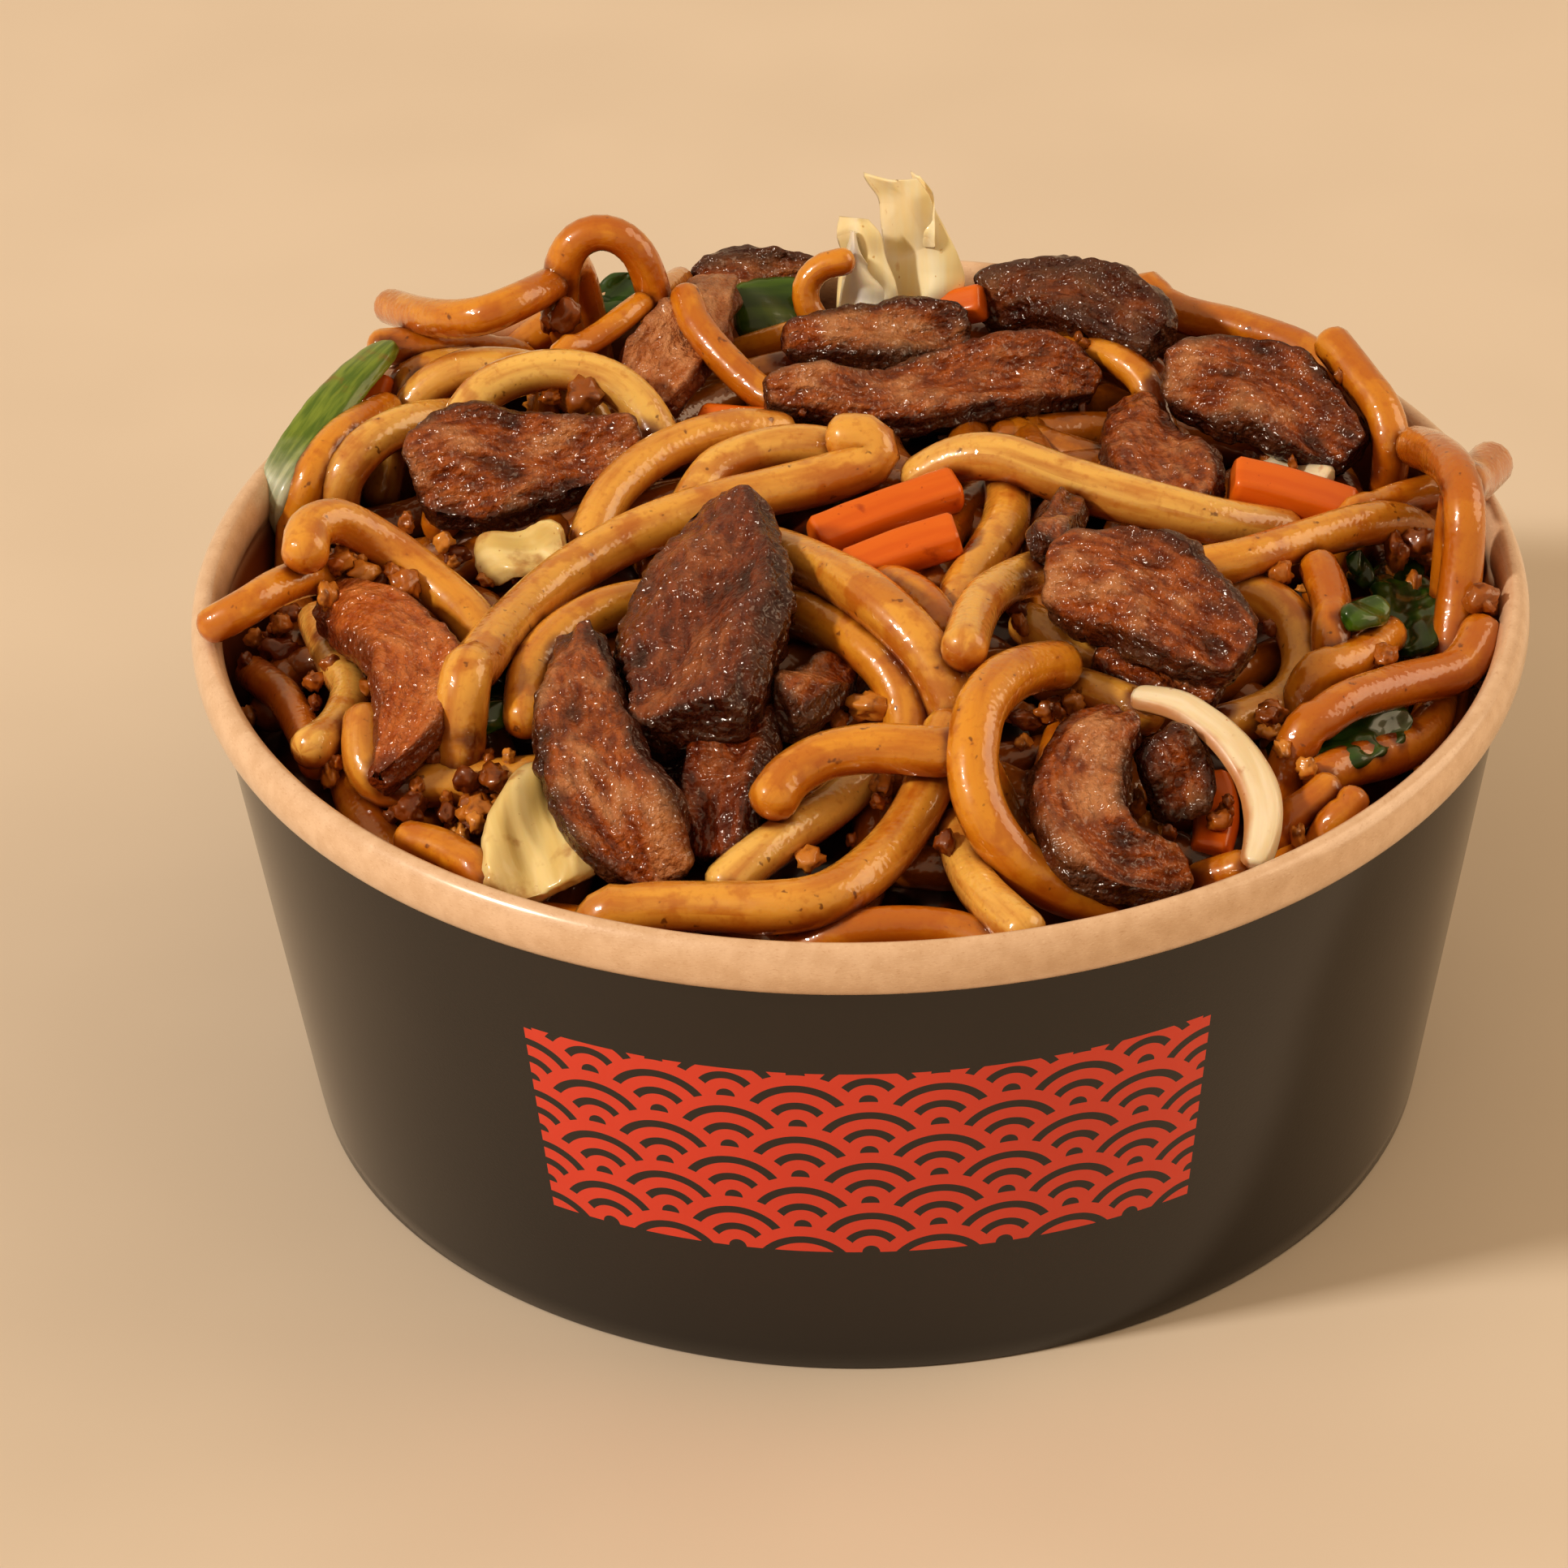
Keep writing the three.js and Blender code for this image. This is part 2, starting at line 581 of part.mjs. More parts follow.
// The largest of the pieces that cutting leaves.
function largest(solid) {
  return solid.decompose().reduce((a, b) => (a.volume() > b.volume() ? a : b));
}

// Spins a profile of [radius, height] pairs about the bowl's axis.
function spun(profile) {
  const points = profile.map(([r, z]) => new THREE.Vector2(r, z));
  return new THREE.LatheGeometry(points, ROUND_SIDES).rotateX(Math.PI / 2);
}

// The wall's outline in section, grown all round by a margin.
function wallProfile(margin) {
  const rollPoints = 9;
  const start = THREE.MathUtils.degToRad(-105);
  const turn = THREE.MathUtils.degToRad(330);
  const roll = Array.from({ length: rollPoints }, (_, i) => {
    const angle = start + (turn * i) / (rollPoints - 1);
    return [
      ROLL_RADIUS + (ROLL_WIDTH / 2 + margin) * Math.cos(angle),
      ROLL_CENTRE + (ROLL_HEIGHT / 2 + margin) * Math.sin(angle),
    ];
  });
  const low = ROLL_CENTRE + (ROLL_HEIGHT / 2) * Math.sin(start + turn);
  const hem = wallInside(0) - HEM_DEPTH;
  return [
    [hem - margin, -margin],
    [wallOutside(0) + margin, -margin],
    ...roll,
    [wallInside(low) - margin, low - 1],
    [wallInside(PAPER) - margin, PAPER + margin],
    [hem - margin, PAPER + margin],
    [hem - margin, -margin],
  ];
}

function bowlWall() {
  return toSolid(spun(wallProfile(0)));
}

// The base disc, with its flange turned down inside the wall.
function bowlBase() {
  const low = PAPER + GAP;
  const top = BASE_HEIGHT + PAPER;
  const outside = (z) => wallInside(z) - GAP;
  return toSolid(
    spun([
      [0, BASE_HEIGHT],
      [outside(low) - PAPER - 1, BASE_HEIGHT],
      [outside(low) - PAPER, BASE_HEIGHT - 1],
      [outside(low) - PAPER, low],
      [outside(low), low],
      [outside(top), top],
      [0, top],
    ]),
  );
}

// The body of the heap, under the noodles that show.
function heapCore() {
  const rings = 5;
  const floor = BASE_HEIGHT + PAPER + GAP;
  const edge = wallInside(CORE_SHOULDER) - 2 * GAP;
  const profile = [
    [0, floor],
    [wallInside(floor) - 2 * GAP, floor],
  ];
  for (let i = 0; i <= rings; i++) profile.push([edge * (1 - i / rings), CORE_SHOULDER]);
  const geometry = new THREE.LatheGeometry(
    profile.map(([r, z]) => new THREE.Vector2(r, z)),
    ROUND_SIDES / 2,
  ).rotateX(Math.PI / 2);
  const position = geometry.attributes.position;
  for (let i = 0; i < position.count; i++)
    if (position.getZ(i) > floor + 1)
      position.setZ(i, coreHeight(position.getX(i), position.getY(i)));
  return toSolid(geometry);
}

// A noodle along its middle line.
function noodleSolid(points, radius) {
  const path = new THREE.CatmullRomCurve3(points, false, "catmullrom", 0.5);
  const outline = new THREE.Shape(
    Array.from({ length: NOODLE_SIDES }, (_, i) => {
      const angle = (i * Math.PI * 2) / NOODLE_SIDES;
      return new THREE.Vector2(radius * Math.cos(angle), radius * Math.sin(angle));
    }),
  );
  const tangents = Array.from({ length: 41 }, (_, i) => path.getTangentAt(i / 40));
  const turned = tangents.slice(1).reduce((sum, t, i) => sum + t.angleTo(tangents[i]), 0);
  const steps = Math.ceil(Math.max(path.getLength() / NOODLE_STEP, turned / NOODLE_TURN, 1));
  return toSolid(
    new THREE.ExtrudeGeometry(outline, { steps, bevelEnabled: false, extrudePath: path }),
  );
}

// What each kind of piece looks like in section: how square it is, how much its outline
// wanders, how much its face waves, and how many sides and steps show that.
const FORMS = {
  beef: { corner: 3.5, ragged: 0.12, wave: 0.6, sides: 8, step: 6, blunt: 0.6 },
  carrot: { corner: 7, ragged: 0, wave: 0, sides: 8, step: 30, blunt: 1 },
  cabbage: { corner: 4, ragged: 0.1, wave: 1.1, sides: 8, step: 4, blunt: 0.7 },
  onion: { corner: 3, ragged: 0.03, wave: 0.2, sides: 6, step: 6, blunt: 0.8 },
  pepper: { corner: 3, ragged: 0.04, wave: 0.4, sides: 8, step: 5, blunt: 0.7 },
  leek: { corner: 3, ragged: 0.06, wave: 0.4, sides: 6, step: 7, blunt: 0.6 },
  leaf: { corner: 4, ragged: 0.1, wave: 0.7, sides: 8, step: 4, blunt: 0.6 },
};

const WAVE_ALONG = 7; // how fast a face waves along its slice, in radians over the whole length
const WAVE_ACROSS = 0.5; // and across it, in radians per millimetre
const WANDER_ALONG = 17; // how fast an outline wanders in and out along the slice

// Moves a place on a round section towards that of a squarer one.
const pull = (value, corner) => Math.sign(value) * Math.abs(value) ** (2 / corner);

// A slice along its middle line, grown all round by a margin.
function sliceSolid(piece, places, margin) {
  const form = FORMS[piece.kind];
  const path = new THREE.CatmullRomCurve3(
    places.map((p) => p.at),
    false,
    "catmullrom",
    0.5,
  );
  const widths = new THREE.CatmullRomCurve3(
    places.map((p) => new THREE.Vector3(p.width, 0, 0)),
    false,
    "catmullrom",
    0.5,
  );
  const length = path.getLength();
  const steps = Math.max(1, Math.round(length / form.step));
  const geometry = new THREE.CylinderGeometry(1, 1, 1, form.sides, steps);
  geometry.rotateY(Math.PI / form.sides);
  const position = geometry.attributes.position;
  const face = places[0].face;
  for (let i = 0; i < position.count; i++) {
    const share = position.getY(i) + 0.5;
    const t = path.getUtoTmapping(share);
    const tangent = path.getTangent(t);
    const across = tangent.clone().cross(face).normalize();
    const out = across.clone().cross(tangent);
    const end = Math.abs(2 * share - 1) > 0.999 ? form.blunt : 1;
    const wander = 1 + form.ragged * Math.sin(share * WANDER_ALONG + position.getX(i) * 2);
    const half = (widths.getPoint(t).x / 2) * end * wander;
    const thick = (piece.thick / 2) * end + margin;
    const sideways = pull(position.getX(i), form.corner);
    const cross = sideways * (half + margin);
    const high = pull(position.getZ(i), form.corner) * thick;
    const wave = form.wave * Math.sin(share * WAVE_ALONG + sideways * half * WAVE_ACROSS);
    const at = path.getPoint(t);
    at.addScaledVector(across, cross).addScaledVector(out, high + wave);
    at.addScaledVector(tangent, share < 0.001 ? -margin : share > 0.999 ? margin : 0);
    position.setXYZ(i, at.x, at.y, at.z);
  }
  return toSolid(geometry);
}

// Lays the whole heap, then cuts each piece clear of those above it.
function makeFood() {
  const keepOut = toSolid(spun(wallProfile(GAP)));
  const strands = EDGE_NOODLES.map((noodle) => noodleSolid(layEdgeNoodle(noodle), noodle.radius));
  const slices = [];
  for (const piece of FOOD) {
    if (piece.noodle) strands.push(noodleSolid(layNoodle(piece), piece.noodle));
    else slices.push({ piece, places: laySlice(piece) });
  }
  const above = [];
  const meshes = [];
  for (const { piece, places } of slices.reverse()) {
    let solid = sliceSolid(piece, places, 0).subtract(keepOut);
    for (const other of above) solid = solid.subtract(other);
    const mesh = new THREE.Mesh(toGeometry(largest(solid)), paint(piece.kind, 0.4));
    mesh.name = piece.name;
    meshes.push(mesh);
    above.push(sliceSolid(piece, places, GAP));
  }
  let heap = heapCore();
  for (const strand of strands) heap = heap.add(strand);
  heap = heap.subtract(keepOut);
  for (const other of above) heap = heap.subtract(other);
  const noodles = new THREE.Mesh(toGeometry(largest(heap)), paint("noodle", 0.35));
  noodles.name = "noodle_heap";
  return [noodles, ...meshes];
}

function makeBowl() {
  const wall = new THREE.Mesh(toGeometry(bowlWall()), paint("print", 0.6));
  wall.name = "bowl_wall";
  const base = new THREE.Mesh(toGeometry(bowlBase()), paint("kraft", 0.8));
  base.name = "bowl_base";
  return [wall, base];
}

const bowl = new THREE.Group().add(...makeBowl());
const food = new THREE.Group().add(...makeFood());

export default new THREE.Group().add(bowl, food);
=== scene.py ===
# %% [markdown]
# # A takeaway bowl of noodles
# The real thing is a round paper bowl, filled above its rim with thick noodles in brown sauce,
# slices of beef and cut vegetables. The bowl's solids are packed as a fixed frame. This script
# gives them their looks: it spins the paper anew, draws every noodle as a smooth tube, and shapes
# each slice with its grain. All the working numbers are in millimetres and are turned to metres
# when a mesh is made.

# %% The frame
import math
import random

import bmesh
import bpy
import numpy as np
from mathutils import Matrix, Vector, kdtree, noise


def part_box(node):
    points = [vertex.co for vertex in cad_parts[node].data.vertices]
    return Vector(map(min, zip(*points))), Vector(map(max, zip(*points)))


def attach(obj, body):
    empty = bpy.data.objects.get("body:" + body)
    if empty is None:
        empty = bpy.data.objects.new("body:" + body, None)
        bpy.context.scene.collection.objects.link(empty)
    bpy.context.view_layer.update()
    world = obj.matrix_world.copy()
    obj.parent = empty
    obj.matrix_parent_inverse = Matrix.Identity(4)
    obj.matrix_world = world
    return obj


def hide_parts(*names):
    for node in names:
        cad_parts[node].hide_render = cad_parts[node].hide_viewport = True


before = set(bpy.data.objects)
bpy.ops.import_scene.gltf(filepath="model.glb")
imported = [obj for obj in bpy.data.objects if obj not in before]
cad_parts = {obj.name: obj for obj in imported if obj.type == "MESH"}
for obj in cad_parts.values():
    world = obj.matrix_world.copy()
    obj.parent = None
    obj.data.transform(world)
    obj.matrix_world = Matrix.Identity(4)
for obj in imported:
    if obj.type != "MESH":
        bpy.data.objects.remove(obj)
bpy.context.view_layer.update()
MM = 0.001
print("nodes in the frame:", len(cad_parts))

# %% [markdown]
# ## The eye
# A long lens from about 34 degrees above. The picture's own numbers place the eye: the focal
# length in pixels, how far away it stands, and its small turns. The same numbers later give the
# line of sight of each noodle, so they are worked out once and kept.

# %% The camera
PICTURE_SIZE = 1932
PICTURE_MIDDLE = PICTURE_SIZE / 2
FOCAL_LENGTH = 8284
EYE_DISTANCE = 850
LOOK_HEIGHT = 30
EYE_ELEVATION = math.radians(33.63)
EYE_YAW = math.radians(-0.67)
EYE_PITCH = math.radians(0.46)
EYE_ROLL = math.radians(-1.5)
SENSOR = 36


def unit(v):
    """A direction of length one."""
    return v / np.linalg.norm(v)


def eye_axes():
    """The eye's place, and the directions ahead, right and up of it."""
    back, high = math.cos(EYE_ELEVATION), math.sin(EYE_ELEVATION)
    at = np.array([0, -EYE_DISTANCE * back, LOOK_HEIGHT + EYE_DISTANCE * high])
    level = np.array([1.0, 0, 0])
    ahead = np.array([0, back, -high])
    above = np.cross(level, ahead)
    ahead = unit(ahead + math.tan(EYE_YAW) * level + math.tan(EYE_PITCH) * above)
    right = unit(np.cross(ahead, [0, 0, 1]))
    up = np.cross(right, ahead)
    turned_right = math.cos(EYE_ROLL) * right + math.sin(EYE_ROLL) * up
    turned_up = math.cos(EYE_ROLL) * up - math.sin(EYE_ROLL) * right
    return at, ahead, turned_right, turned_up


EYE, AHEAD, RIGHT, UP = eye_axes()


def sight(u, v):
    """The direction in which the eye sees a pixel."""
    across = (u - PICTURE_MIDDLE) / FOCAL_LENGTH
    high = (PICTURE_MIDDLE - v) / FOCAL_LENGTH
    return unit(AHEAD + across * RIGHT + high * UP)


lens = bpy.data.cameras.new("camera")
lens.sensor_width = SENSOR
lens.lens = SENSOR * FOCAL_LENGTH / PICTURE_SIZE
lens.clip_end = 10
camera = bpy.data.objects.new("camera", lens)
turn = Matrix((RIGHT, UP, -AHEAD)).transposed().to_4x4()
camera.matrix_world = Matrix.Translation(Vector(EYE * MM)) @ turn
bpy.context.scene.collection.objects.link(camera)
bpy.context.scene.camera = camera
print("camera lens:", round(lens.lens, 1), "mm")

# %% [markdown]
# ## Small helpers
# Every material is a node tree. One function adds a node, sets it up and links it, so that a
# material reads line by line from its pattern to its shader. Colours are written as the hex values
# that a paint program shows and turned to the linear values that light works in. A pattern's scale
# is one over the size of its features, so that it is written as a size in millimetres.

# %% Helpers for materials


def linear(code):
    """The linear colour of an sRGB hex code."""
    parts = [int(code[i : i + 2], 16) / 255 for i in (1, 3, 5)]
    return [c / 12.92 if c <= 0.04045 else ((c + 0.055) / 1.055) ** 2.4 for c in parts] + [1]


def add(tree, kind, inputs=(), **settings):
    """Adds a node with its settings. Its inputs are a dictionary by name, or a list in the order
    of the sockets that show. Each is a value, a hex colour, or a node or socket to link."""
    node = tree.nodes.new("ShaderNode" + kind)
    for name, value in settings.items():
        setattr(node, name, value)
    if isinstance(inputs, dict):
        pairs = [(node.inputs[name], value) for name, value in inputs.items()]
    else:
        pairs = zip([socket for socket in node.inputs if socket.enabled], inputs)
    for socket, value in pairs:
        if isinstance(value, bpy.types.Node):
            value = next(output for output in value.outputs if output.enabled)
        if isinstance(value, bpy.types.NodeSocket):
            tree.links.new(value, socket)
        else:
            socket.default_value = linear(value) if isinstance(value, str) else value
    return node


def new_material(name):
    """An empty material and its node tree."""
    material = bpy.data.materials.new(name)
    material.use_nodes = True
    material.node_tree.nodes.clear()
    return material, material.node_tree


def size_mm(size):
    """The scale of a pattern whose features are that many millimetres across."""
    return 1 / (size * MM)


# The settings of a node that mixes two colours, and of one that maps a value to a share.
COLOURS = {"data_type": "RGBA"}
SMOOTHLY = {"interpolation_type": "SMOOTHSTEP"}
print("a pattern of 2 mm has the scale", size_mm(2))

# %% [markdown]
# ## Floor and light
# The bowl stands on a plain pale table. One small warm light on the left gives the crisp streaks
# on the wet noodles and the shadow to the right. A wide white card on the right throws some of it
# back: it is the broad pale band along the other side of each noodle.

# %% The floor
FLOOR_CLOUD = 60

floor_paint, tree = new_material("matt painted table")
place = add(tree, "TexCoord").outputs["Object"]
cloud = add(tree, "TexNoise", {"Vector": place, "Scale": size_mm(FLOOR_CLOUD)})
share = add(tree, "MapRange", [cloud, 0.3, 0.7], **SMOOTHLY)
shade = add(tree, "Mix", [share, "#DBCEBC", "#DFD2C0"], **COLOURS)
shader = add(tree, "BsdfPrincipled", {"Base Color": shade, "Roughness": 0.7})
add(tree, "OutputMaterial", [shader])

bm = bmesh.new()
bmesh.ops.create_grid(bm, x_segments=2, y_segments=2, size=6)
floor_mesh = bpy.data.meshes.new("table")
bm.to_mesh(floor_mesh)
bm.free()
floor_mesh.materials.append(floor_paint)
floor = bpy.data.objects.new("table", floor_mesh)
bpy.context.scene.collection.objects.link(floor)
print("the table is", len(floor_mesh.vertices), "points")

# %% The lights
KEY_TURN = math.radians(204)
KEY_HEIGHT = math.radians(37.5)
KEY_DISTANCE = 3
KEY_SIZE = 0.3
KEY_POWER = 49
CARD_TURN = math.radians(8)
CARD_HEIGHT = math.radians(28)
CARD_DISTANCE = 2.2
CARD_SIZE = 1.6
CARD_POWER = 15
SKY_COLOUR = "#FFE1BE"
SKY_STRENGTH = 0.5
LIGHT_AIM = Vector((0, 0, 0.06))


def area_light(name, turn, height, distance, size, power, colour):
    """A square light that looks at the middle of the food."""
    data = bpy.data.lights.new(name, "AREA")
    data.size = size
    data.energy = power
    data.color = linear(colour)[:3]
    light = bpy.data.objects.new(name, data)
    flat = math.cos(height) * distance
    away = Vector((math.cos(turn) * flat, math.sin(turn) * flat, math.sin(height) * distance))
    light.location = LIGHT_AIM + away
    light.rotation_euler = away.to_track_quat("Z", "Y").to_euler()
    bpy.context.scene.collection.objects.link(light)


area_light("key", KEY_TURN, KEY_HEIGHT, KEY_DISTANCE, KEY_SIZE, KEY_POWER, "#FFF2E4")
area_light("card", CARD_TURN, CARD_HEIGHT, CARD_DISTANCE, CARD_SIZE, CARD_POWER, "#FFE4C4")

world = bpy.data.worlds.new("studio")
world.use_nodes = True
sky = world.node_tree.nodes["Background"]
sky.inputs["Color"].default_value = linear(SKY_COLOUR)
sky.inputs["Strength"].default_value = SKY_STRENGTH
bpy.context.scene.world = world
view = bpy.context.scene.view_settings
view.view_transform = "Standard"
view.look = "Medium High Contrast"
print("lights:", len(bpy.data.lights))

# %% [markdown]
# ## The paper
# Such a bowl is kraft board with a thin plastic film, printed matt black outside before it is
# rolled into a cone. So there are two finishes on one piece of paper. Kraft is brown with fine
# flecks of fibre, and sauce has run down its inside from the rim. The print is a satin black that
# mirrors the table where it is seen at a low angle. On the front it has a band of a traditional
# wave pattern in red, made by nodes: each row is a line of rings about evenly spaced centres, and
# a lower row covers the one behind it.

# %% The kraft paper
FLECK = 0.5
PAPER_CLOUD = 2.5
SMEAR = 11
SMEAR_LOW = 58 * MM
SMEAR_HIGH = 67 * MM
DRY_RADIUS = 79.6 * MM
WET_RADIUS = 79 * MM
BASE_DRY = 10 * MM
BASE_WET = 12 * MM


def kraft_colour(tree, place):
    """Brown paper with light and dark flecks."""
    run = add(tree, "Mapping", {"Vector": place, "Scale": (1, 1, 3)})
    fleck = add(tree, "TexNoise", {"Vector": run, "Scale": size_mm(FLECK), "Detail": 3.0})
    cloud = add(tree, "TexNoise", {"Vector": place, "Scale": size_mm(PAPER_CLOUD), "Detail": 5.0})
    share = add(tree, "MapRange", [cloud, 0.3, 0.7], **SMOOTHLY)
    base = add(tree, "Mix", [share, "#DAB896", "#E6C6A6"], **COLOURS)
    dark = add(tree, "MapRange", [fleck, 0.56, 0.76, 0.0, 0.3], **SMOOTHLY)
    flecked = add(tree, "Mix", [dark, base, "#B07A4C"], **COLOURS)
    light = add(tree, "MapRange", [fleck, 0.4, 0.28, 0.0, 0.3], **SMOOTHLY)
    return add(tree, "Mix", [light, flecked, "#FBE2C2"], **COLOURS), fleck


kraft_paper, tree = new_material("film-coated kraft paper")
place = add(tree, "TexCoord").outputs["Object"]
shade, fleck = kraft_colour(tree, place)
height = add(tree, "SeparateXYZ", {"Vector": place}).outputs["Z"]
smear = add(tree, "TexNoise", {"Vector": place, "Scale": size_mm(SMEAR), "Detail": 3.0})
film = add(tree, "MapRange", [height, SMEAR_LOW, SMEAR_HIGH, 0.9, -0.35])
sauced = add(tree, "Math", [smear, film], operation="ADD")
radius = add(tree, "VectorMath", [place, (1, 1, 0)], operation="MULTIPLY")
radius = add(tree, "VectorMath", [radius], operation="LENGTH")
inside = add(tree, "MapRange", [radius, DRY_RADIUS, WET_RADIUS], **SMOOTHLY)
wet_and_contact_shade = add(tree, "MapRange", [sauced, 0.62, 0.85], **SMOOTHLY)
wet_and_contact_shade = add(tree, "Math", [wet_and_contact_shade, inside], operation="MULTIPLY")
above_base = add(tree, "MapRange", [height, BASE_DRY, BASE_WET], **SMOOTHLY)
wet_and_contact_shade = add(tree, "Math", [wet_and_contact_shade, above_base], operation="MULTIPLY")
shade = add(tree, "Mix", [wet_and_contact_shade, shade, "#8A4A1C"], **COLOURS)
bump = add(tree, "Bump", {"Height": fleck, "Strength": 0.25, "Distance": 0.0002})
shader = add(tree, "BsdfPrincipled", {
    "Base Color": shade, "Roughness": 0.45, "Normal": bump,
    "Coat Weight": 1.0, "Coat Roughness": 0.2, "Coat IOR": 1.6, "Specular IOR Level": 0.4,
})
add(tree, "OutputMaterial", [shader])
print("kraft paper:", len(tree.nodes), "nodes")

# %% The black print with its band of waves
WAVE_RADIUS = 8.2
WAVE_RINGS = 3
RING_SHARE = 0.6
BAND_LOW = 20
BAND_HIGH = 49
BAND_HALF = 41
# Added before a fraction is taken, so that it never comes from a negative number.
WAVE_SHIFT = 100
FRONT_RADIUS = 76
INK_CLOUD = 14
GRIT = 0.4


def wave_band(tree, along, height):
    """One where the band of waves is printed, zero elsewhere. Both inputs are in millimetres."""
    result = 0.0
    rows = int((BAND_HIGH - BAND_LOW) / (WAVE_RADIUS / 2)) + 2
    for row in range(rows, -1, -1):
        centre = BAND_LOW + (row - 1) * WAVE_RADIUS / 2
        shifted = add(tree, "Math", [along, 2 * WAVE_RADIUS], operation="DIVIDE")
        shifted = add(tree, "Math", [shifted, WAVE_SHIFT + 0.5 * (row % 2)], operation="ADD")
        share = add(tree, "Math", [shifted], operation="FRACT")
        share = add(tree, "Math", [share, 0.5], operation="SUBTRACT")
        aside = add(tree, "Math", [share, 2 * WAVE_RADIUS], operation="MULTIPLY")
        above = add(tree, "Math", [height, centre], operation="SUBTRACT")
        square = add(tree, "Math", [aside, aside], operation="MULTIPLY")
        square = add(tree, "Math", [above, above, square], operation="MULTIPLY_ADD")
        away = add(tree, "Math", [square], operation="SQRT")
        away = add(tree, "Math", [away, WAVE_RADIUS], operation="DIVIDE")
        within = add(tree, "Math", [away, 1.0], operation="LESS_THAN")
        ring = add(tree, "Math", [away, WAVE_RINGS], operation="MULTIPLY")
        ring = add(tree, "Math", [ring], operation="FRACT")
        inked = add(tree, "Math", [ring, 1 - RING_SHARE], operation="GREATER_THAN")
        change = add(tree, "Math", [inked, result], operation="SUBTRACT")
        result = add(tree, "Math", [change, within, result], operation="MULTIPLY_ADD")
    aside = add(tree, "Math", [along], operation="ABSOLUTE")
    inside = add(tree, "Math", [aside, BAND_HALF], operation="LESS_THAN")
    high = add(tree, "Math", [height, BAND_LOW], operation="GREATER_THAN")
    inside = add(tree, "Math", [inside, high], operation="MULTIPLY")
    low = add(tree, "Math", [height, BAND_HIGH], operation="LESS_THAN")
    inside = add(tree, "Math", [inside, low], operation="MULTIPLY")
    return add(tree, "Math", [inside, result], operation="MULTIPLY")


black_print, tree = new_material("black offset print on paper")
place = add(tree, "TexCoord").outputs["Object"]
parts = add(tree, "SeparateXYZ", {"Vector": place}).outputs
ahead = add(tree, "Math", [parts["Y"], -1.0], operation="MULTIPLY")
angle = add(tree, "Math", [parts["X"], ahead], operation="ARCTAN2")
along = add(tree, "Math", [angle, FRONT_RADIUS], operation="MULTIPLY")
height = add(tree, "Math", [parts["Z"], MM], operation="DIVIDE")
cloud = add(tree, "TexNoise", {"Vector": place, "Scale": size_mm(INK_CLOUD), "Detail": 5.0})
grit = add(tree, "TexNoise", {"Vector": place, "Scale": size_mm(GRIT), "Detail": 2.0})
ink = add(tree, "Mix", [cloud, "#0F0A08", "#18110F"], **COLOURS)
scuff = add(tree, "MapRange", [grit, 0.72, 0.8, 0.0, 0.25], **SMOOTHLY)
ink = add(tree, "Mix", [scuff, ink, "#41362E"], **COLOURS)
red = add(tree, "Mix", [cloud, "#D63A22", "#E2452B"], **COLOURS)
ink = add(tree, "Mix", [wave_band(tree, along, height), ink, red], **COLOURS)
bump = add(tree, "Bump", {"Height": grit, "Strength": 0.12, "Distance": 0.0001})
shader = add(tree, "BsdfPrincipled", {
    "Base Color": ink, "Roughness": 0.16, "Normal": bump, "IOR": 1.68,
})
add(tree, "OutputMaterial", [shader])
print("black print:", len(tree.nodes), "nodes")

# %% [markdown]
# ## The bowl
# The real wall is one strip of paper: folded in at the foot, and rolled outwards at the rim. The
# roll is what keeps the bowl round. A single outline spun about the axis makes all of it, in steps
# fine enough that the rim shows no corners. The base is a second disc whose flange is glued
# inside the foot. Its size comes from the frame's box, so it fills the same space.

# %% Helpers for pieces
ROUND_STEPS = 224
BOWL_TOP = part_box("bowl_wall")[1]
RIM_RADIUS = BOWL_TOP.x / MM
BOWL_HEIGHT = 69
FOOT_RADIUS = 70.5
PAPER = 0.8
ROLL_WIDTH = 3.8
ROLL_HEIGHT = 6.8
BASE_HEIGHT = 8
HEM_DEPTH = 2.4
GAP = 0.3
ROLL_RADIUS = RIM_RADIUS - ROLL_WIDTH / 2
ROLL_TOP = BOWL_TOP.z / MM
ROLL_CENTRE = ROLL_TOP - ROLL_HEIGHT / 2
RIM_FOOT_RADIUS = 80.6
RIM_FOOT_HEIGHT = 65.6
WALL_SLOPE = (RIM_FOOT_RADIUS - FOOT_RADIUS) / RIM_FOOT_HEIGHT


def wall_outside(z):
    """The wall's outer radius at a height."""
    return FOOT_RADIUS + WALL_SLOPE * z


def wall_inside(z):
    """The wall's inner radius at a height."""
    return wall_outside(z) - PAPER


def piece(mesh, name, materials, nodes):
    """Puts a mesh in the scene as a smooth piece that rides on the bowl and replaces nodes."""
    for material in materials:
        mesh.materials.append(material)
    mesh.polygons.foreach_set("use_smooth", [True] * len(mesh.polygons))
    obj = bpy.data.objects.new(name, mesh)
    bpy.context.scene.collection.objects.link(obj)
    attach(obj, "root")
    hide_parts(*nodes)
    print(name, len(mesh.polygons), "faces")
    return obj


# %% Spinning an outline


def spun(name, outline, closed=True):
    """A mesh made by spinning an outline of radius and height about the axis."""
    bm = bmesh.new()
    verts = [bm.verts.new((r * MM, 0, z * MM)) for r, z in outline]
    pairs = list(zip(verts, verts[1:])) + ([(verts[-1], verts[0])] if closed else [])
    edges = [bm.edges.new(pair) for pair in pairs]
    bmesh.ops.spin(
        bm, geom=verts + edges, axis=(0, 0, 1), cent=(0, 0, 0), angle=2 * math.pi,
        steps=ROUND_STEPS, use_merge=True,
    )
    bmesh.ops.remove_doubles(bm, verts=bm.verts, dist=1e-6)
    bmesh.ops.recalc_face_normals(bm, faces=bm.faces)
    mesh = bpy.data.meshes.new(name)
    bm.to_mesh(mesh)
    bm.free()
    return mesh


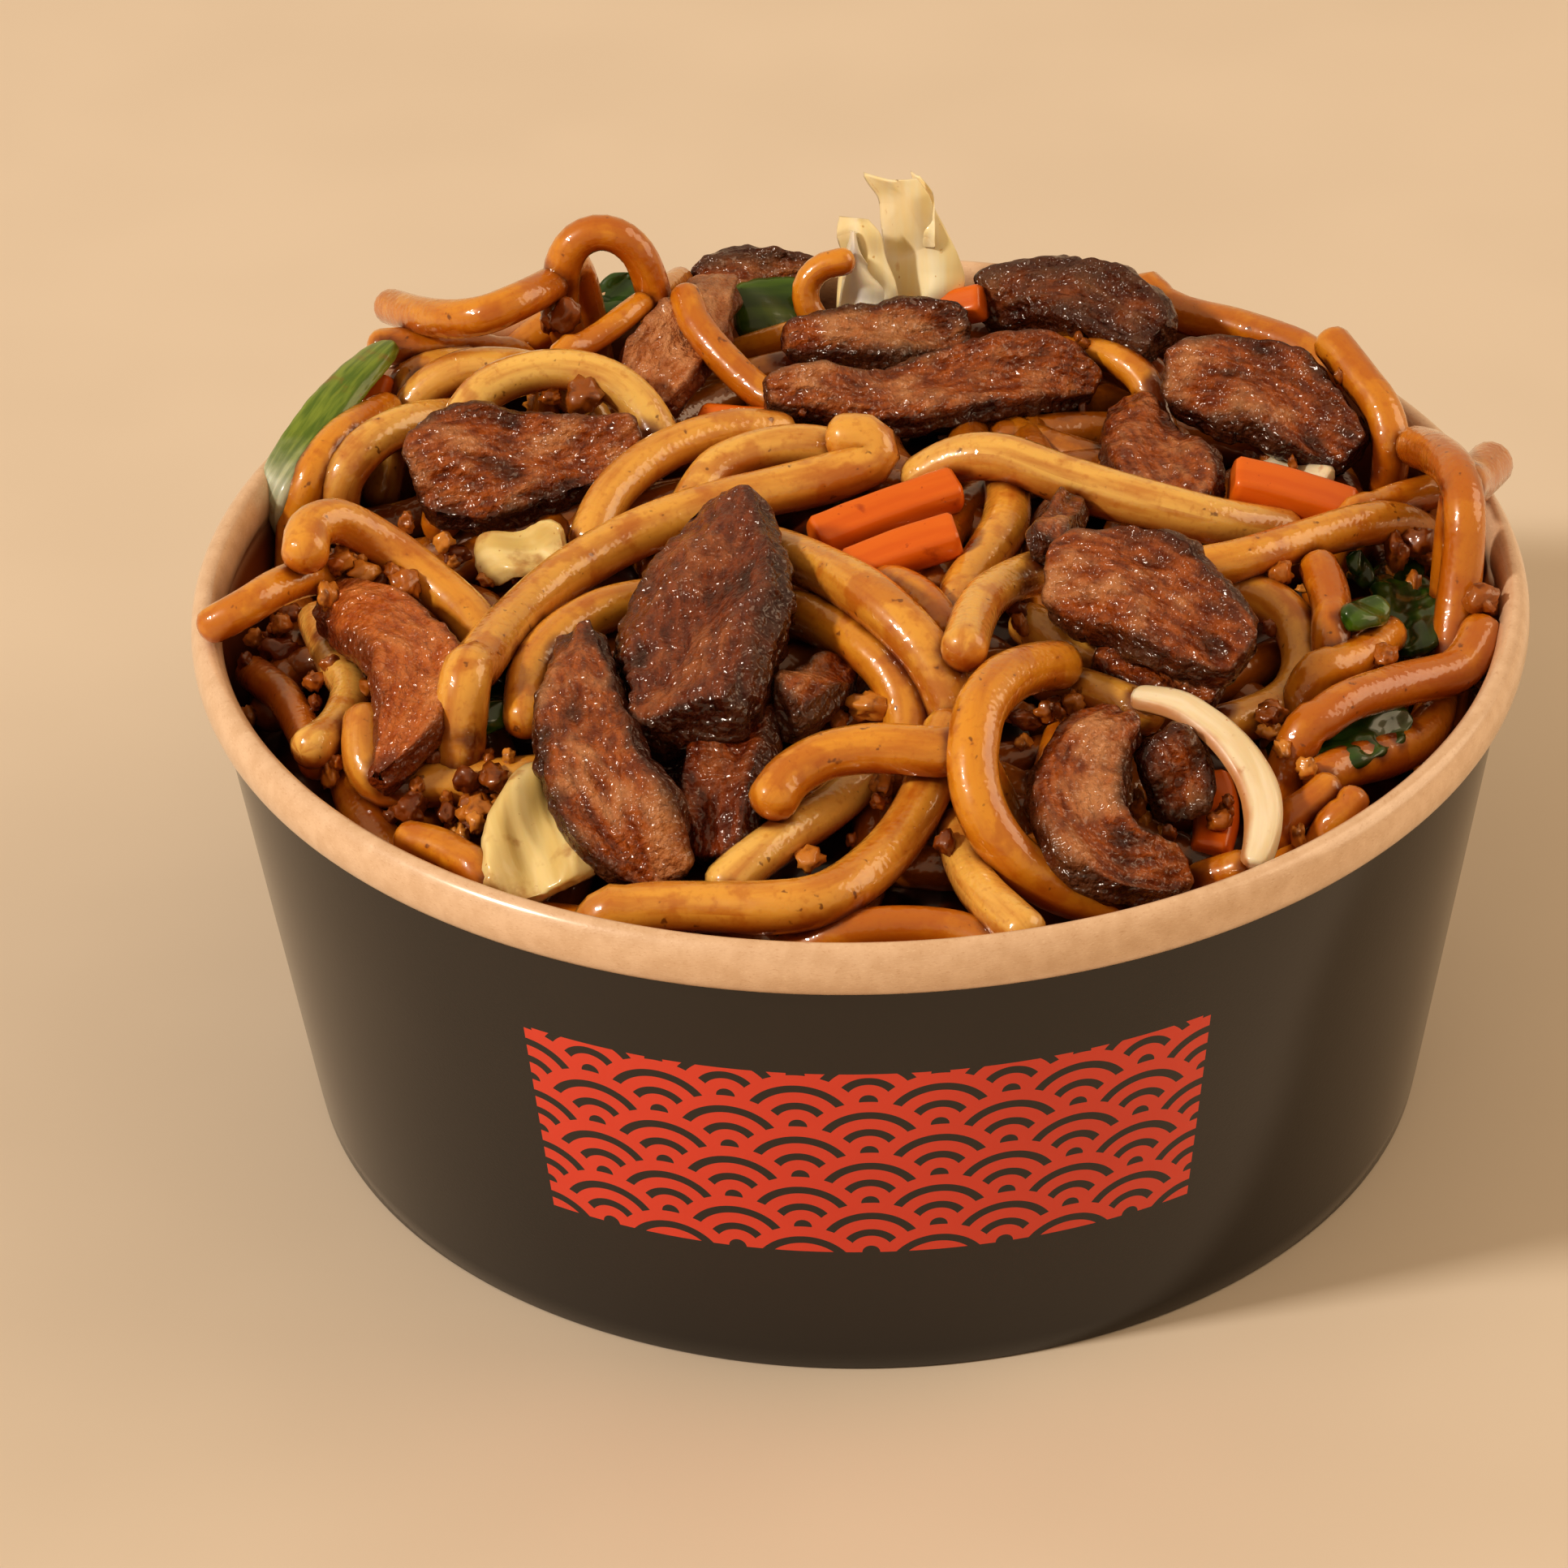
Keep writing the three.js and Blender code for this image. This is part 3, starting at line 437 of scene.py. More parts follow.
# %% The wall
ROLL_POINTS = 26
ROLL_START = math.radians(-105)
ROLL_TURN = math.radians(330)
PRINT_TOP = 61.6
SEAM_ANGLE = math.radians(62)
SEAM_WIDTH = 9
SEAM_STEP = 0.22
SEAM_BOTTOM = 0.2
SEAM_TOLERANCE = 1e-4


def wall_outline():
    """The wall in section: hem, outside, roll and inside."""
    hem = wall_inside(0) - HEM_DEPTH
    outline = [(hem, 0), (wall_outside(0) - 0.25, 0), (wall_outside(0), 0.3)]
    for z in (3, 20, 40, PRINT_TOP - 0.01):
        outline.append((wall_outside(z), z))
    for i in range(ROLL_POINTS):
        angle = ROLL_START + ROLL_TURN * i / (ROLL_POINTS - 1)
        r = ROLL_RADIUS + ROLL_WIDTH / 2 * math.cos(angle)
        outline.append((r, ROLL_CENTRE + ROLL_HEIGHT / 2 * math.sin(angle)))
    low = ROLL_CENTRE + ROLL_HEIGHT / 2 * math.sin(ROLL_START + ROLL_TURN)
    for z in (low - 1, 45, 25, 8, PAPER + 1):
        outline.append((wall_inside(z), z))
    outline.append((wall_inside(PAPER) - 0.8, PAPER))
    outline.append((hem, PAPER))
    return outline


def show_seam(mesh):
    """Lifts the strip where the wall's end is glued over its start."""
    for vert in mesh.vertices:
        r = math.hypot(vert.co.x, vert.co.y)
        z = vert.co.z / MM
        turn = (math.atan2(vert.co.y, vert.co.x) - SEAM_ANGLE + math.pi) % (2 * math.pi) - math.pi
        near = abs(turn) * r < SEAM_WIDTH / 2 * MM and SEAM_BOTTOM < z < PRINT_TOP
        if near and r > wall_outside(z) * MM - SEAM_TOLERANCE:
            vert.co.x *= 1 + SEAM_STEP * MM / r
            vert.co.y *= 1 + SEAM_STEP * MM / r


wall = spun("bowl_wall_paper", wall_outline())
show_seam(wall)
for face in wall.polygons:
    middle = face.center
    r = math.hypot(middle.x, middle.y) / MM
    z = middle.z / MM
    outer = r > wall_outside(z) - PAPER / 2 and z < PRINT_TOP - 0.05
    face.material_index = 1 if outer and z > 0.1 else 0
piece(wall, "bowl_wall_paper", [kraft_paper, black_print], ["bowl_wall"])

# %% The base
FLANGE_LOW = PAPER + GAP
BASE_TOP = BASE_HEIGHT + PAPER


def flange_outside(z):
    """The outer radius of the base's flange at a height."""
    return wall_inside(z) - GAP


base_outline = [
    (0.0, BASE_HEIGHT),
    (flange_outside(FLANGE_LOW) - PAPER - 1.2, BASE_HEIGHT),
    (flange_outside(FLANGE_LOW) - PAPER - 0.3, BASE_HEIGHT - 0.3),
    (flange_outside(FLANGE_LOW) - PAPER, BASE_HEIGHT - 1.2),
    (flange_outside(FLANGE_LOW) - PAPER, FLANGE_LOW),
    (flange_outside(FLANGE_LOW), FLANGE_LOW),
    (flange_outside(BASE_TOP), BASE_TOP - 0.6),
    (flange_outside(BASE_TOP) - 0.6, BASE_TOP),
    (0.0, BASE_TOP),
]
piece(spun("bowl_base_paper", base_outline, closed=False), "bowl_base_paper",
      [kraft_paper], ["bowl_base"])

# %% [markdown]
# ## How the heap is laid
# A cook's heap is made by dropping things on top of each other, so this one is made the same way,
# from the bottom up. Each piece has the pixels of its middle line. Every place on that line is a
# ball that comes along its line of sight until it meets the bed, or a piece laid before it. A
# noodle is stiff, so its places are then drawn into a smooth line that rests on the highest of
# them. The same rule and numbers made the solids in the frame, so both agree.

# %% Smooth lines
SAMPLE = 3
PIXELS_PER_MM = 9.75
SQUEEZE = 0.95
SINK_IN = 0.8
NOODLE_STIFFNESS = 6
SLICE_STIFFNESS = 40
CORE_SHOULDER = 54
CORE_RISE = 15
CORE_SLOPE = 0.06


def smooth_line(knots, steps=24):
    """A smooth line through the knots, as many closely spaced places."""
    knots = np.array(knots, float)
    ends = [2 * knots[0] - knots[1], 2 * knots[-1] - knots[-2]]
    k = np.vstack([ends[:1], knots, ends[1:]])
    t = np.linspace(0, 1, steps, endpoint=False)[:, None]
    spans = []
    for a, b, c, d in zip(k, k[1:], k[2:], k[3:]):
        bend = (2 * a - 5 * b + 4 * c - d) * t**2 + (3 * b - a - 3 * c + d) * t**3
        spans.append(0.5 * (2 * b + (c - a) * t + bend))
    return np.vstack(spans + [knots[-1:]])


def spaced(line, step, columns):
    """Places an even step apart along a line, measured over its first columns."""
    moves = np.linalg.norm(np.diff(line[:, :columns], axis=0), axis=1)
    along = np.concatenate([[0], np.cumsum(moves)])
    count = max(2, round(along[-1] / step))
    at = np.linspace(0, along[-1], count + 1)
    return np.column_stack([np.interp(at, along, column) for column in line.T])


# %% The bed and what lies on it


def core_height(x, y):
    """The height of the solid heap's surface, without the pieces on it."""
    share = min(1, math.hypot(x, y) / wall_inside(CORE_SHOULDER))
    return CORE_SHOULDER + CORE_RISE * (1 - share * share) + CORE_SLOPE * y


def reach_bed(start, along, reach, lift):
    """How far along a line a ball gets before it meets the core, the wall or the rim."""

    def over(t):
        at = start + along * t
        return at[2] - core_height(at[0], at[1]) - reach * SINK_IN - lift

    flat = along[0] ** 2 + along[1] ** 2
    rim_stop = (BOWL_HEIGHT + reach - start[2]) / along[2]
    enter = 0.0
    leave = (CORE_SHOULDER - start[2]) / along[2]
    if flat > 1e-9:
        inside = wall_inside(BOWL_HEIGHT) - reach - GAP
        half = start[0] * along[0] + start[1] * along[1]
        rest = half * half - flat * (start[0] ** 2 + start[1] ** 2 - inside * inside)
        if rest <= 0:
            return rim_stop
        enter = (-half - math.sqrt(rest)) / flat
        leave = (-half + math.sqrt(rest)) / flat
    if over(leave) > 0:
        return rim_stop if (start + along * leave)[2] > BOWL_HEIGHT + reach else leave
    if over(enter) < 0:
        return enter
    for _ in range(40):
        middle = (enter + leave) / 2
        if over(middle) > 0:
            enter = middle
        else:
            leave = middle
    return enter


# %% The heap so far


class Heap:
    """The balls that stand for the pieces laid so far, with the number of each ball's piece."""

    def __init__(self):
        self.at = np.zeros((0, 3))
        self.reach = np.zeros(0)
        self.owner = np.zeros(0, int)
        self.pieces = 0

    def lay(self, places, reach):
        """Adds a piece's balls."""
        places = np.array(places)
        self.at = np.vstack([self.at, places])
        self.reach = np.concatenate([self.reach, np.full(len(places), reach)])
        self.owner = np.concatenate([self.owner, np.full(len(places), self.pieces)])

    def drop(self, start, along, reach, lift=0.0):
        """How far along a line a ball gets before it meets what lies there already."""
        nearest = reach_bed(start, along, reach, lift)
        if len(self.at) == 0:
            return nearest
        away = self.at - start
        middle = away @ along
        side = np.einsum("ij,ij->i", away, away) - middle**2
        near = (SQUEEZE * (reach + self.reach)) ** 2
        hit = side < near
        if hit.any():
            nearest = min(nearest, (middle[hit] - np.sqrt(near[hit] - side[hit])).min())
        return nearest


def stretch(reaches, rounds):
    """Draws a piece into a smooth line over the places that hold it up."""
    for _ in range(rounds):
        for i in range(1, len(reaches) - 1):
            reaches[i] = min(reaches[i], (reaches[i - 1] + reaches[i + 1]) / 2)
    for _ in range(3):
        for i in range(1, len(reaches) - 1):
            reaches[i] = (reaches[i - 1] + 2 * reaches[i] + reaches[i + 1]) / 4
    return reaches


heap = Heap()
print("the bare heap is", round(core_height(0, 0)), "mm high in the middle")

# %% [markdown]
# ## The list of food
# From the bottom of the heap to its top. A noodle has its radius in millimetres and the pixels of
# its middle line, with the height above the bed as a third number where it must stand proud. A
# cut piece has its name, kind, thickness and lean towards the viewer, then pixels with the width
# there. The pixels are those of a picture 1932 pixels square.

# %% The food


def noodle(radius, line, free="", depth=None, tone=None):
    """A noodle. free names the end that shows, depth is how far behind the middle it stands, and
    tone goes from pale at zero to soaked with sauce at one."""
    return {"radius": radius, "line": line, "free": free, "depth": depth, "tone": tone}


def cut(name, kind, thick, lean, line, side=0, depth=None):
    """A slice, baton or leaf."""
    return {
        "name": name, "kind": kind, "thick": thick, "lean": lean, "line": line, "side": side,
        "depth": depth,
    }


FOOD = [
    noodle(2.4, [(1405, 360), (1460, 388), (1530, 405), (1600, 428), (1650, 462)], tone=0.8),
    cut("beef_back_left", "beef", 5, 45, [(856, 356, 5), (920, 345, 9), (1000, 352, 6)]),
    cut("pepper_back", "pepper", 3, 45, [(905, 385, 7), (950, 383, 9), (1000, 385, 8)]),
    noodle(2.2, [(900, 440), (950, 424), (1010, 408)], tone=0.65),
    noodle(2.2, [(920, 465), (975, 452), (1030, 450)], tone=0.7),
    cut("leaf_in_loop", "leaf", 1, 40, [(725, 395, 6), (755, 370, 7), (790, 345, 5)]),
    noodle(2.4, [(610, 450), (650, 420), (700, 385)], tone=0.7),
    noodle(2.4, [(470, 428), (515, 426), (570, 430), (640, 445)], tone=0.6),
    noodle(2.5, [(478, 520), (495, 480), (530, 458), (580, 452)], tone=0.3),
    noodle(2.5, [(500, 530), (515, 490), (560, 460), (610, 452), (670, 462), (720, 500)], tone=0.2),
    cut("carrot_left", "carrot", 3, 30, [(470, 462, 3), (456, 505, 3.5)]),
    cut("leek_left", "leek", 2.4, 35, [
        (480, 425, 4.5), (430, 475, 5.5), (385, 530, 5.5), (345, 585, 5), (333, 630, 5),
        (358, 668, 2.5),
    ], side=-25),
    noodle(2.4, [(365, 640), (385, 585), (425, 535), (475, 505)], tone=0.55),
    noodle(2.6, [(418, 650), (420, 595), (455, 548), (505, 522), (570, 515)], tone=0.2),
    noodle(2.4, [
        (482, 378, 16), (530, 391, 17), (590, 390, 18), (650, 366, 18), (710, 335, 16),
    ], free="start", tone=0.65),
    noodle(2.3, [
        (735, 480), (708, 430), (693, 390), (691, 350), (700, 310), (725, 289), (757, 289), (786, 312),
        (802, 350), (812, 400), (815, 450),
    ], depth=57, tone=0.65),
    cut("beef_pink_back", "beef", 6, 35, [(880, 362, 6), (845, 415, 9), (812, 465, 10), (800, 512, 6)]),
    noodle(1.7, [(690, 442), (740, 412), (790, 375), (838, 345)], free="end", tone=0.65),
    noodle(2.1, [(845, 366), (858, 400), (890, 440), (935, 482), (990, 515)], free="start", tone=0.68),
    cut("cabbage_standing", "cabbage", 1.6, 75, [
        (1105, 375, 11), (1120, 330, 12.5), (1122, 280, 9), (1115, 215, 7.5),
    ], depth=66),
    cut("cabbage_lobe", "cabbage", 1.8, 75, [
        (1060, 385, 6), (1062, 340, 6), (1058, 300, 6.5), (1050, 270, 4),
    ], depth=62),
    noodle(1.8, [(1040, 322), (1003, 335), (992, 368), (1010, 402)], tone=0.65),
    cut("beef_back_right", "beef", 6, 45, [
        (1215, 372, 7), (1270, 362, 9), (1330, 365, 10), (1390, 392, 9), (1432, 425, 5),
    ]),
    cut("carrot_back", "carrot", 4, 35, [(1120, 392, 4), (1212, 372, 4)]),
    noodle(2.1, [(1310, 430), (1360, 436), (1400, 458), (1418, 490)], tone=0.5),
    cut("beef_slab", "beef", 5, 38, [(968, 425, 4), (1040, 418, 7.5), (1110, 412, 9), (1190, 412, 7)]),
    cut("carrot_sliver", "carrot", 2.5, 25, [(865, 515, 3.5), (950, 522, 3.5)]),
    cut("beef_long", "beef", 6, 35, [
        (945, 492, 4), (1010, 487, 6.5), (1080, 500, 8.5), (1150, 487, 9.5), (1220, 468, 10),
        (1290, 460, 9), (1345, 478, 4),
    ]),
    cut("beef_right_back", "beef", 6, 35, [
        (1440, 470, 7), (1500, 472, 12), (1560, 485, 12.5), (1615, 525, 11), (1668, 568, 6),
    ]),
    cut("onion_bit", "onion", 2, 30, [(1555, 575, 4), (1640, 590, 4)]),
    cut("beef_right_corner", "beef", 6, 30, [
        (1388, 512, 6), (1408, 550, 10.5), (1438, 592, 12), (1470, 640, 9),
    ]),
    noodle(2.4, [
        (1642, 424, 16), (1672, 462, 14), (1705, 508, 12), (1714, 560), (1706, 620),
    ], free="start", tone=0.7),
    noodle(2.7, [
        (565, 530), (592, 487), (640, 462), (700, 456), (755, 472), (795, 508), (815, 550),
    ], tone=0.05),
    cut("beef_left", "beef", 7, 35, [
        (512, 595, 10), (580, 575, 15.5), (650, 575, 13), (720, 565, 9), (785, 537, 4),
    ]),
    noodle(2.7, [(728, 668), (745, 622), (785, 578), (840, 547), (905, 530), (960, 535)], tone=0.3),
    noodle(2.7, [(850, 625), (880, 580), (935, 556), (990, 550), (1050, 560)], tone=0.2),
    cut("carrot_right", "carrot", 5, 20, [(1518, 592, 5), (1580, 606, 5), (1665, 632, 5)]),
    noodle(2.8, [(1240, 590), (1240, 640), (1218, 682), (1185, 730), (1180, 780)], tone=0.35),
    noodle(3, [
        (1135, 590), (1180, 566), (1235, 564), (1300, 587), (1370, 610), (1440, 628), (1510, 645),
        (1580, 655),
    ], tone=0.15),
    cut("carrot_centre_a", "carrot", 4.6, 20, [(1005, 665, 4.6), (1085, 634, 4.6), (1178, 602, 4.6)]),
    cut("carrot_centre_b", "carrot", 4.6, 20, [(1045, 705, 4.6), (1110, 680, 4.6), (1180, 658, 4.6)]),
    noodle(2.2, [(1095, 718), (1135, 735), (1165, 775)], tone=0.68),
    noodle(2.3, [
        (262, 770, 16), (300, 750, 19), (350, 720, 14), (400, 707, 10), (445, 706), (495, 722),
    ], free="start", tone=0.55),
    noodle(2.2, [(298, 830), (340, 848), (368, 890), (390, 940)], tone=0.85),
    noodle(2.5, [(392, 765), (412, 815), (432, 850), (418, 895), (382, 922)], tone=0.15),
    noodle(2.3, [(505, 1035), (550, 1048), (592, 1080)], tone=0.6),
    noodle(2.9, [(452, 890), (452, 940), (480, 968), (540, 965), (610, 965), (680, 960)], tone=0.35),
    cut("beef_crescent", "beef", 6, 20, [
        (405, 757, 5), (458, 768, 9), (505, 808, 11), (515, 860, 10), (497, 918, 6), (467, 968, 1.6),
    ]),
    noodle(2.8, [
        (376, 682), (380, 655), (415, 642), (470, 670), (530, 716), (580, 762), (615, 815),
    ], free="start", tone=0.4),
    cut("cabbage_left", "cabbage", 2.5, 30, [(590, 690, 6), (630, 685, 7.5), (700, 670, 6)]),
    cut("leaf_left", "leaf", 1.2, 25, [(565, 905, 5), (600, 868, 8), (645, 840, 6)]),
    noodle(2.8, [(648, 885), (655, 830), (690, 785), (745, 752), (800, 740)], tone=0.4),
    noodle(3, [
        (572, 845), (600, 802), (642, 755), (700, 707), (765, 668), (835, 638), (900, 617), (960, 604),
        (1025, 588), (1075, 566), (1078, 545), (1040, 540),
    ], free="end", tone=0.3),
    cut("cabbage_front", "cabbage", 3, 35, [
        (655, 950, 3), (648, 985, 5), (655, 1018, 11), (672, 1060, 15), (686, 1100, 13),
    ]),
    cut("beef_fold_under", "beef", 6, 30, [(775, 815, 6), (805, 890, 8), (830, 970, 8), (850, 1045, 6)]),
    cut("beef_fold", "beef", 7, 30, [
        (712, 805, 6), (718, 870, 9), (732, 940, 12), (770, 1010, 12), (820, 1070, 7),
    ]),
    cut("beef_front", "beef", 6, 25, [(905, 890, 11), (898, 945, 10), (890, 1000, 9), (888, 1052, 6)]),
    cut("beef_bit", "beef", 6, 20, [(965, 880, 5), (1000, 858, 7), (1040, 842, 4)]),
    noodle(2.9, [(965, 755), (1000, 762), (1045, 785), (1090, 822), (1115, 868), (1120, 920)], tone=0.45),
    noodle(3.1, [
        (935, 675), (985, 690), (1050, 722), (1105, 765), (1148, 815), (1172, 870), (1180, 920),
    ], tone=0.35),
    cut("beef_centre", "beef", 7, 25, [
        (908, 640, 8), (888, 700, 15), (868, 765, 20), (862, 830, 17), (850, 885, 13),
    ]),
    noodle(2.7, [(1188, 800), (1208, 745), (1250, 715), (1320, 695)], tone=0.25),
    noodle(2.6, [(1266, 768), (1310, 795), (1370, 815)], free="start", tone=0.3),
    noodle(2.2, [(1665, 640), (1720, 618), (1785, 600)], tone=0.65),
    noodle(2.7, [
        (1455, 735), (1530, 730), (1582, 755), (1605, 800), (1598, 845), (1565, 875), (1510, 895),
    ], tone=0.35),
    noodle(2.6, [(1430, 708), (1520, 692), (1600, 668), (1690, 645), (1740, 652), (1790, 690)], tone=0.4),
    cut("beef_tip", "beef", 4, 30, [(1288, 680, 4), (1302, 650, 5), (1318, 625, 4)]),
    cut("beef_right_low", "beef", 5, 25, [(1350, 812, 5), (1430, 828, 8), (1505, 855, 6)]),
    cut("beef_right", "beef", 7, 30, [
        (1300, 718, 8), (1352, 718, 14), (1412, 735, 15), (1472, 772, 12), (1535, 815, 7),
    ]),
    noodle(2.8, [(1800, 620, 18), (1818, 590, 22), (1836, 572, 24)], free="end", tone=0.8),
    noodle(2.6, [(1745, 550), (1785, 570), (1803, 612), (1804, 670), (1796, 745), (1790, 790)], tone=0.85),
    noodle(2.4, [(1625, 700), (1640, 740), (1640, 785)], tone=0.8),
    cut("leaf_right", "leaf", 1.2, 35, [(1710, 690, 6), (1732, 740, 8.5), (1748, 805, 6)]),
    noodle(2.5, [(1620, 832), (1670, 812), (1710, 782)], free="end", tone=0.65),
    cut("leaf_right_low", "leaf", 1.2, 25, [(1570, 915, 6), (1640, 922, 8), (1735, 885, 4)]),
    noodle(2.2, [(1590, 1010), (1615, 990), (1636, 972)], free="end", tone=0.65),
    noodle(2, [(1640, 1015), (1660, 1000), (1668, 985)], free="end", tone=0.65),
    noodle(2.6, [(1605, 905), (1660, 865), (1740, 840), (1795, 826), (1830, 780)], free="end", tone=0.85),
    cut("carrot_front", "carrot", 4, 20, [(1492, 962, 4), (1500, 1005, 4.5), (1490, 1055, 4)]),
    noodle(2.2, [(1480, 1085), (1530, 1070)], tone=0.7),
    noodle(2.6, [(1290, 840), (1345, 852), (1415, 880)], tone=0.3),
    noodle(1.6, [(1285, 965), (1298, 920), (1310, 888)], free="end", tone=0.8),
    cut("onion_ring", "onion", 2.4, 15, [
        (1398, 860, 3.5), (1455, 872, 5), (1512, 912, 5.5), (1548, 965, 5.5), (1556, 1020, 5),
        (1545, 1068, 4),
    ]),
    noodle(2.5, [(975, 1175), (1040, 1150), (1110, 1142), (1180, 1148), (1240, 1172)], tone=0.85),
    noodle(2.6, [(1180, 1020), (1190, 1065), (1216, 1106), (1262, 1148)], tone=0.2),
    noodle(2.7, [(895, 1090), (925, 1062), (970, 1030), (1020, 998), (1070, 955)], tone=0.1),
    noodle(3, [
        (745, 1128), (800, 1118), (870, 1117), (950, 1118), (1020, 1106), (1082, 1062), (1128, 1002),
        (1155, 940), (1170, 900),
    ], tone=0.35),
    noodle(2.9, [
        (952, 985), (972, 958), (1015, 932), (1075, 922), (1130, 925), (1190, 930),
    ], free="start", tone=0.45),
    noodle(3, [
        (1305, 820), (1255, 828), (1215, 862), (1200, 910), (1200, 960), (1215, 1010), (1250, 1058),
        (1300, 1092), (1370, 1112),
    ], tone=0.5),
    cut("beef_curl", "beef", 6, 20, [
        (1385, 895, 6), (1340, 930, 9), (1325, 985, 10), (1348, 1040, 10), (1398, 1075, 8),
        (1445, 1088, 5),
    ]),
]

# Scraps too small for a solid of their own. They lie on top of the rest.
SCRAPS = [
    cut("beef_in_ring", "beef", 4, 30, [(1425, 905, 6), (1448, 950, 8), (1462, 1005, 6)]),
    cut("leaf_scrap", "leaf", 1.2, 30, [(1662, 682, 3), (1676, 700, 4), (1680, 720, 3)]),
    cut("olive_scrap", "pepper", 2, 30, [(1660, 766, 3), (1682, 756, 4.5), (1704, 748, 3)]),
]

# Noodles along the wall: start and turn in degrees, distance from the middle, and radius.
EDGE_NOODLES = [
    (196, 52, 71, 2.8),
    (268, 60, 72.5, 2.7),
    (325, 40, 72, 2.6),
    (15, 38, 70, 2.7),
    (50, 42, 67, 2.8),
    (128, 30, 62, 2.7),
]
EDGE_WAVER = 3
EDGE_TONE = 0.7
DIVE_REACH = 5
DOWN = np.array([0, 0, -1.0])

print(len(FOOD), "pieces of food and", len(SCRAPS), "scraps to lay")

# %% Laying a noodle


def lay_edge_noodle(start, turn, out, radius):
    """Lays a noodle along the wall."""
    count = round(math.radians(turn) * out / SAMPLE)
    places = []
    for i in range(count + 1):
        angle = math.radians(start + turn * i / count)
        away = out - EDGE_WAVER * (1 - math.cos((i / count - 0.5) * 5))
        places.append(np.array([away * math.cos(angle), away * math.sin(angle), 2 * BOWL_HEIGHT]))
    reaches = stretch([heap.drop(at, DOWN, radius) for at in places], NOODLE_STIFFNESS)
    line = np.array([at + DOWN * t for at, t in zip(places, reaches)])
    heap.lay(line, radius)
    return line


def dive(line, radius, deep=1.0):
    """Runs a noodle on past its last place, down into the heap."""
    last = line[-1]
    height = last[2] - core_height(last[0], last[1])
    if height < radius:
        return line
    ahead = last - line[-2]
    ahead[2] = 0
    end = last + unit(ahead) * DIVE_REACH
    end[2] -= height + deep
    return np.vstack([line, end])


def keep_inside(line, radius):
    """Moves the places of a line that are below the rim inwards, off the wall."""
    for place in line:
        out = math.hypot(place[0], place[1])
        room = wall_inside(place[2]) - radius - 2 * GAP
        if place[2] < BOWL_HEIGHT + radius / 2 and out > room:
            place[:2] *= room / out
    return line


def lay_noodle(item):
    """Lays a noodle and returns its middle line, its hidden end last."""
    radius = item["radius"]
    picks = spaced(smooth_line([(*p, 0)[:3] for p in item["line"]]), SAMPLE * PIXELS_PER_MM, 2)
    lines = [sight(p[0], p[1]) for p in picks]
    if item["depth"] is None:
        reaches = [heap.drop(EYE, along, radius, p[2]) for along, p in zip(lines, picks)]
    else:
        reaches = [(item["depth"] - EYE[1]) / along[1] for along in lines]
    stretch(reaches, NOODLE_STIFFNESS)
    line = np.array([EYE + along * t for along, t in zip(lines, reaches)])
    heap.lay(line, radius)
    heights = [p[2] - core_height(p[0], p[1]) for p in line]
    start_is_low = item["free"] == "end" or (item["free"] != "start" and heights[0] < heights[-1])
    return keep_inside(dive(line[::-1] if start_is_low else line, radius), radius)


# %% Laying a slice


def face_of(item):
    """The direction of a slice's face."""
    forward, right = math.radians(item["lean"]), math.radians(item["side"])
    flat = math.cos(forward)
    return np.array([math.sin(right) * flat, -math.sin(forward), math.cos(right) * flat])


def lay_cut(item):
    """Lays a slice and returns its middle line, with the width at each place."""
    picks = spaced(smooth_line(item["line"]), SAMPLE * PIXELS_PER_MM, 2)
    lines = [sight(p[0], p[1]) for p in picks]
    face = face_of(item)
    flat = np.array([EYE + d * (BOWL_HEIGHT - EYE[2]) / d[2] for d in lines])
    ahead = np.array([flat[min(i + 1, len(flat) - 1)] - flat[max(i - 1, 0)] for i in range(len(flat))])
    across = [unit(np.cross(a, face)) for a in ahead]
    reach = item["thick"] / 2

    def spread(i):
        half = max(0, picks[i][2] / 2 - reach)
        count = math.ceil(half / reach)
        shares = [(k - count) / count if count else 0 for k in range(2 * count + 1)]
        return [across[i] * half * share for share in shares]

    if item["depth"] is None:
        reaches = [
            min(heap.drop(EYE + shift, along, reach) for shift in spread(i))
            for i, along in enumerate(lines)
        ]
    else:
        reaches = [(item["depth"] - EYE[1]) / along[1] for along in lines]
    stretch(reaches, SLICE_STIFFNESS)
    line = np.array([EYE + along * t for along, t in zip(lines, reaches)])
    for i, at in enumerate(line):
        heap.lay([at + shift for shift in spread(i)], reach)
    return np.column_stack([line, picks[:, 2]])


# %% Laying it all, from the bottom up
laid_noodles = []
laid_cuts = []
for numbers in EDGE_NOODLES:
    laid_noodles.append((lay_edge_noodle(*numbers), numbers[3], heap.pieces, EDGE_TONE))
    heap.pieces += 1
for item in FOOD:
    if "radius" in item:
        laid_noodles.append((lay_noodle(item), item["radius"], heap.pieces, item["tone"]))
    else:
        laid_cuts.append((item, lay_cut(item), heap.pieces))
    heap.pieces += 1
laid_scraps = []
for item in SCRAPS:
    laid_scraps.append((item, lay_cut(item), heap.pieces))
    heap.pieces += 1
print(len(laid_noodles), "noodles and", len(laid_cuts), "cut pieces laid")

# %% [markdown]
# ## What fills the gaps
# Between the noodles that show, the eye sees more noodles, deeper and darker, partly with sauce and
# partly as painted shade. Their places don't matter one by one, so they are drawn by a seeded rule:
# short arcs in all directions over a lower bed, each resting on those before it.

# %% The noodles underneath
UNDER_NOODLES = 64
UNDER_RADIUS = 2.6
UNDER_LENGTH = 46
UNDER_REACH = 70
UNDER_SINK = 5.5
UNDER_SEED = 11
TIGHTEST_BEND = 18
BEND_RANGE = 30
GOLDEN_TURN = 2 * math.pi / 1.618


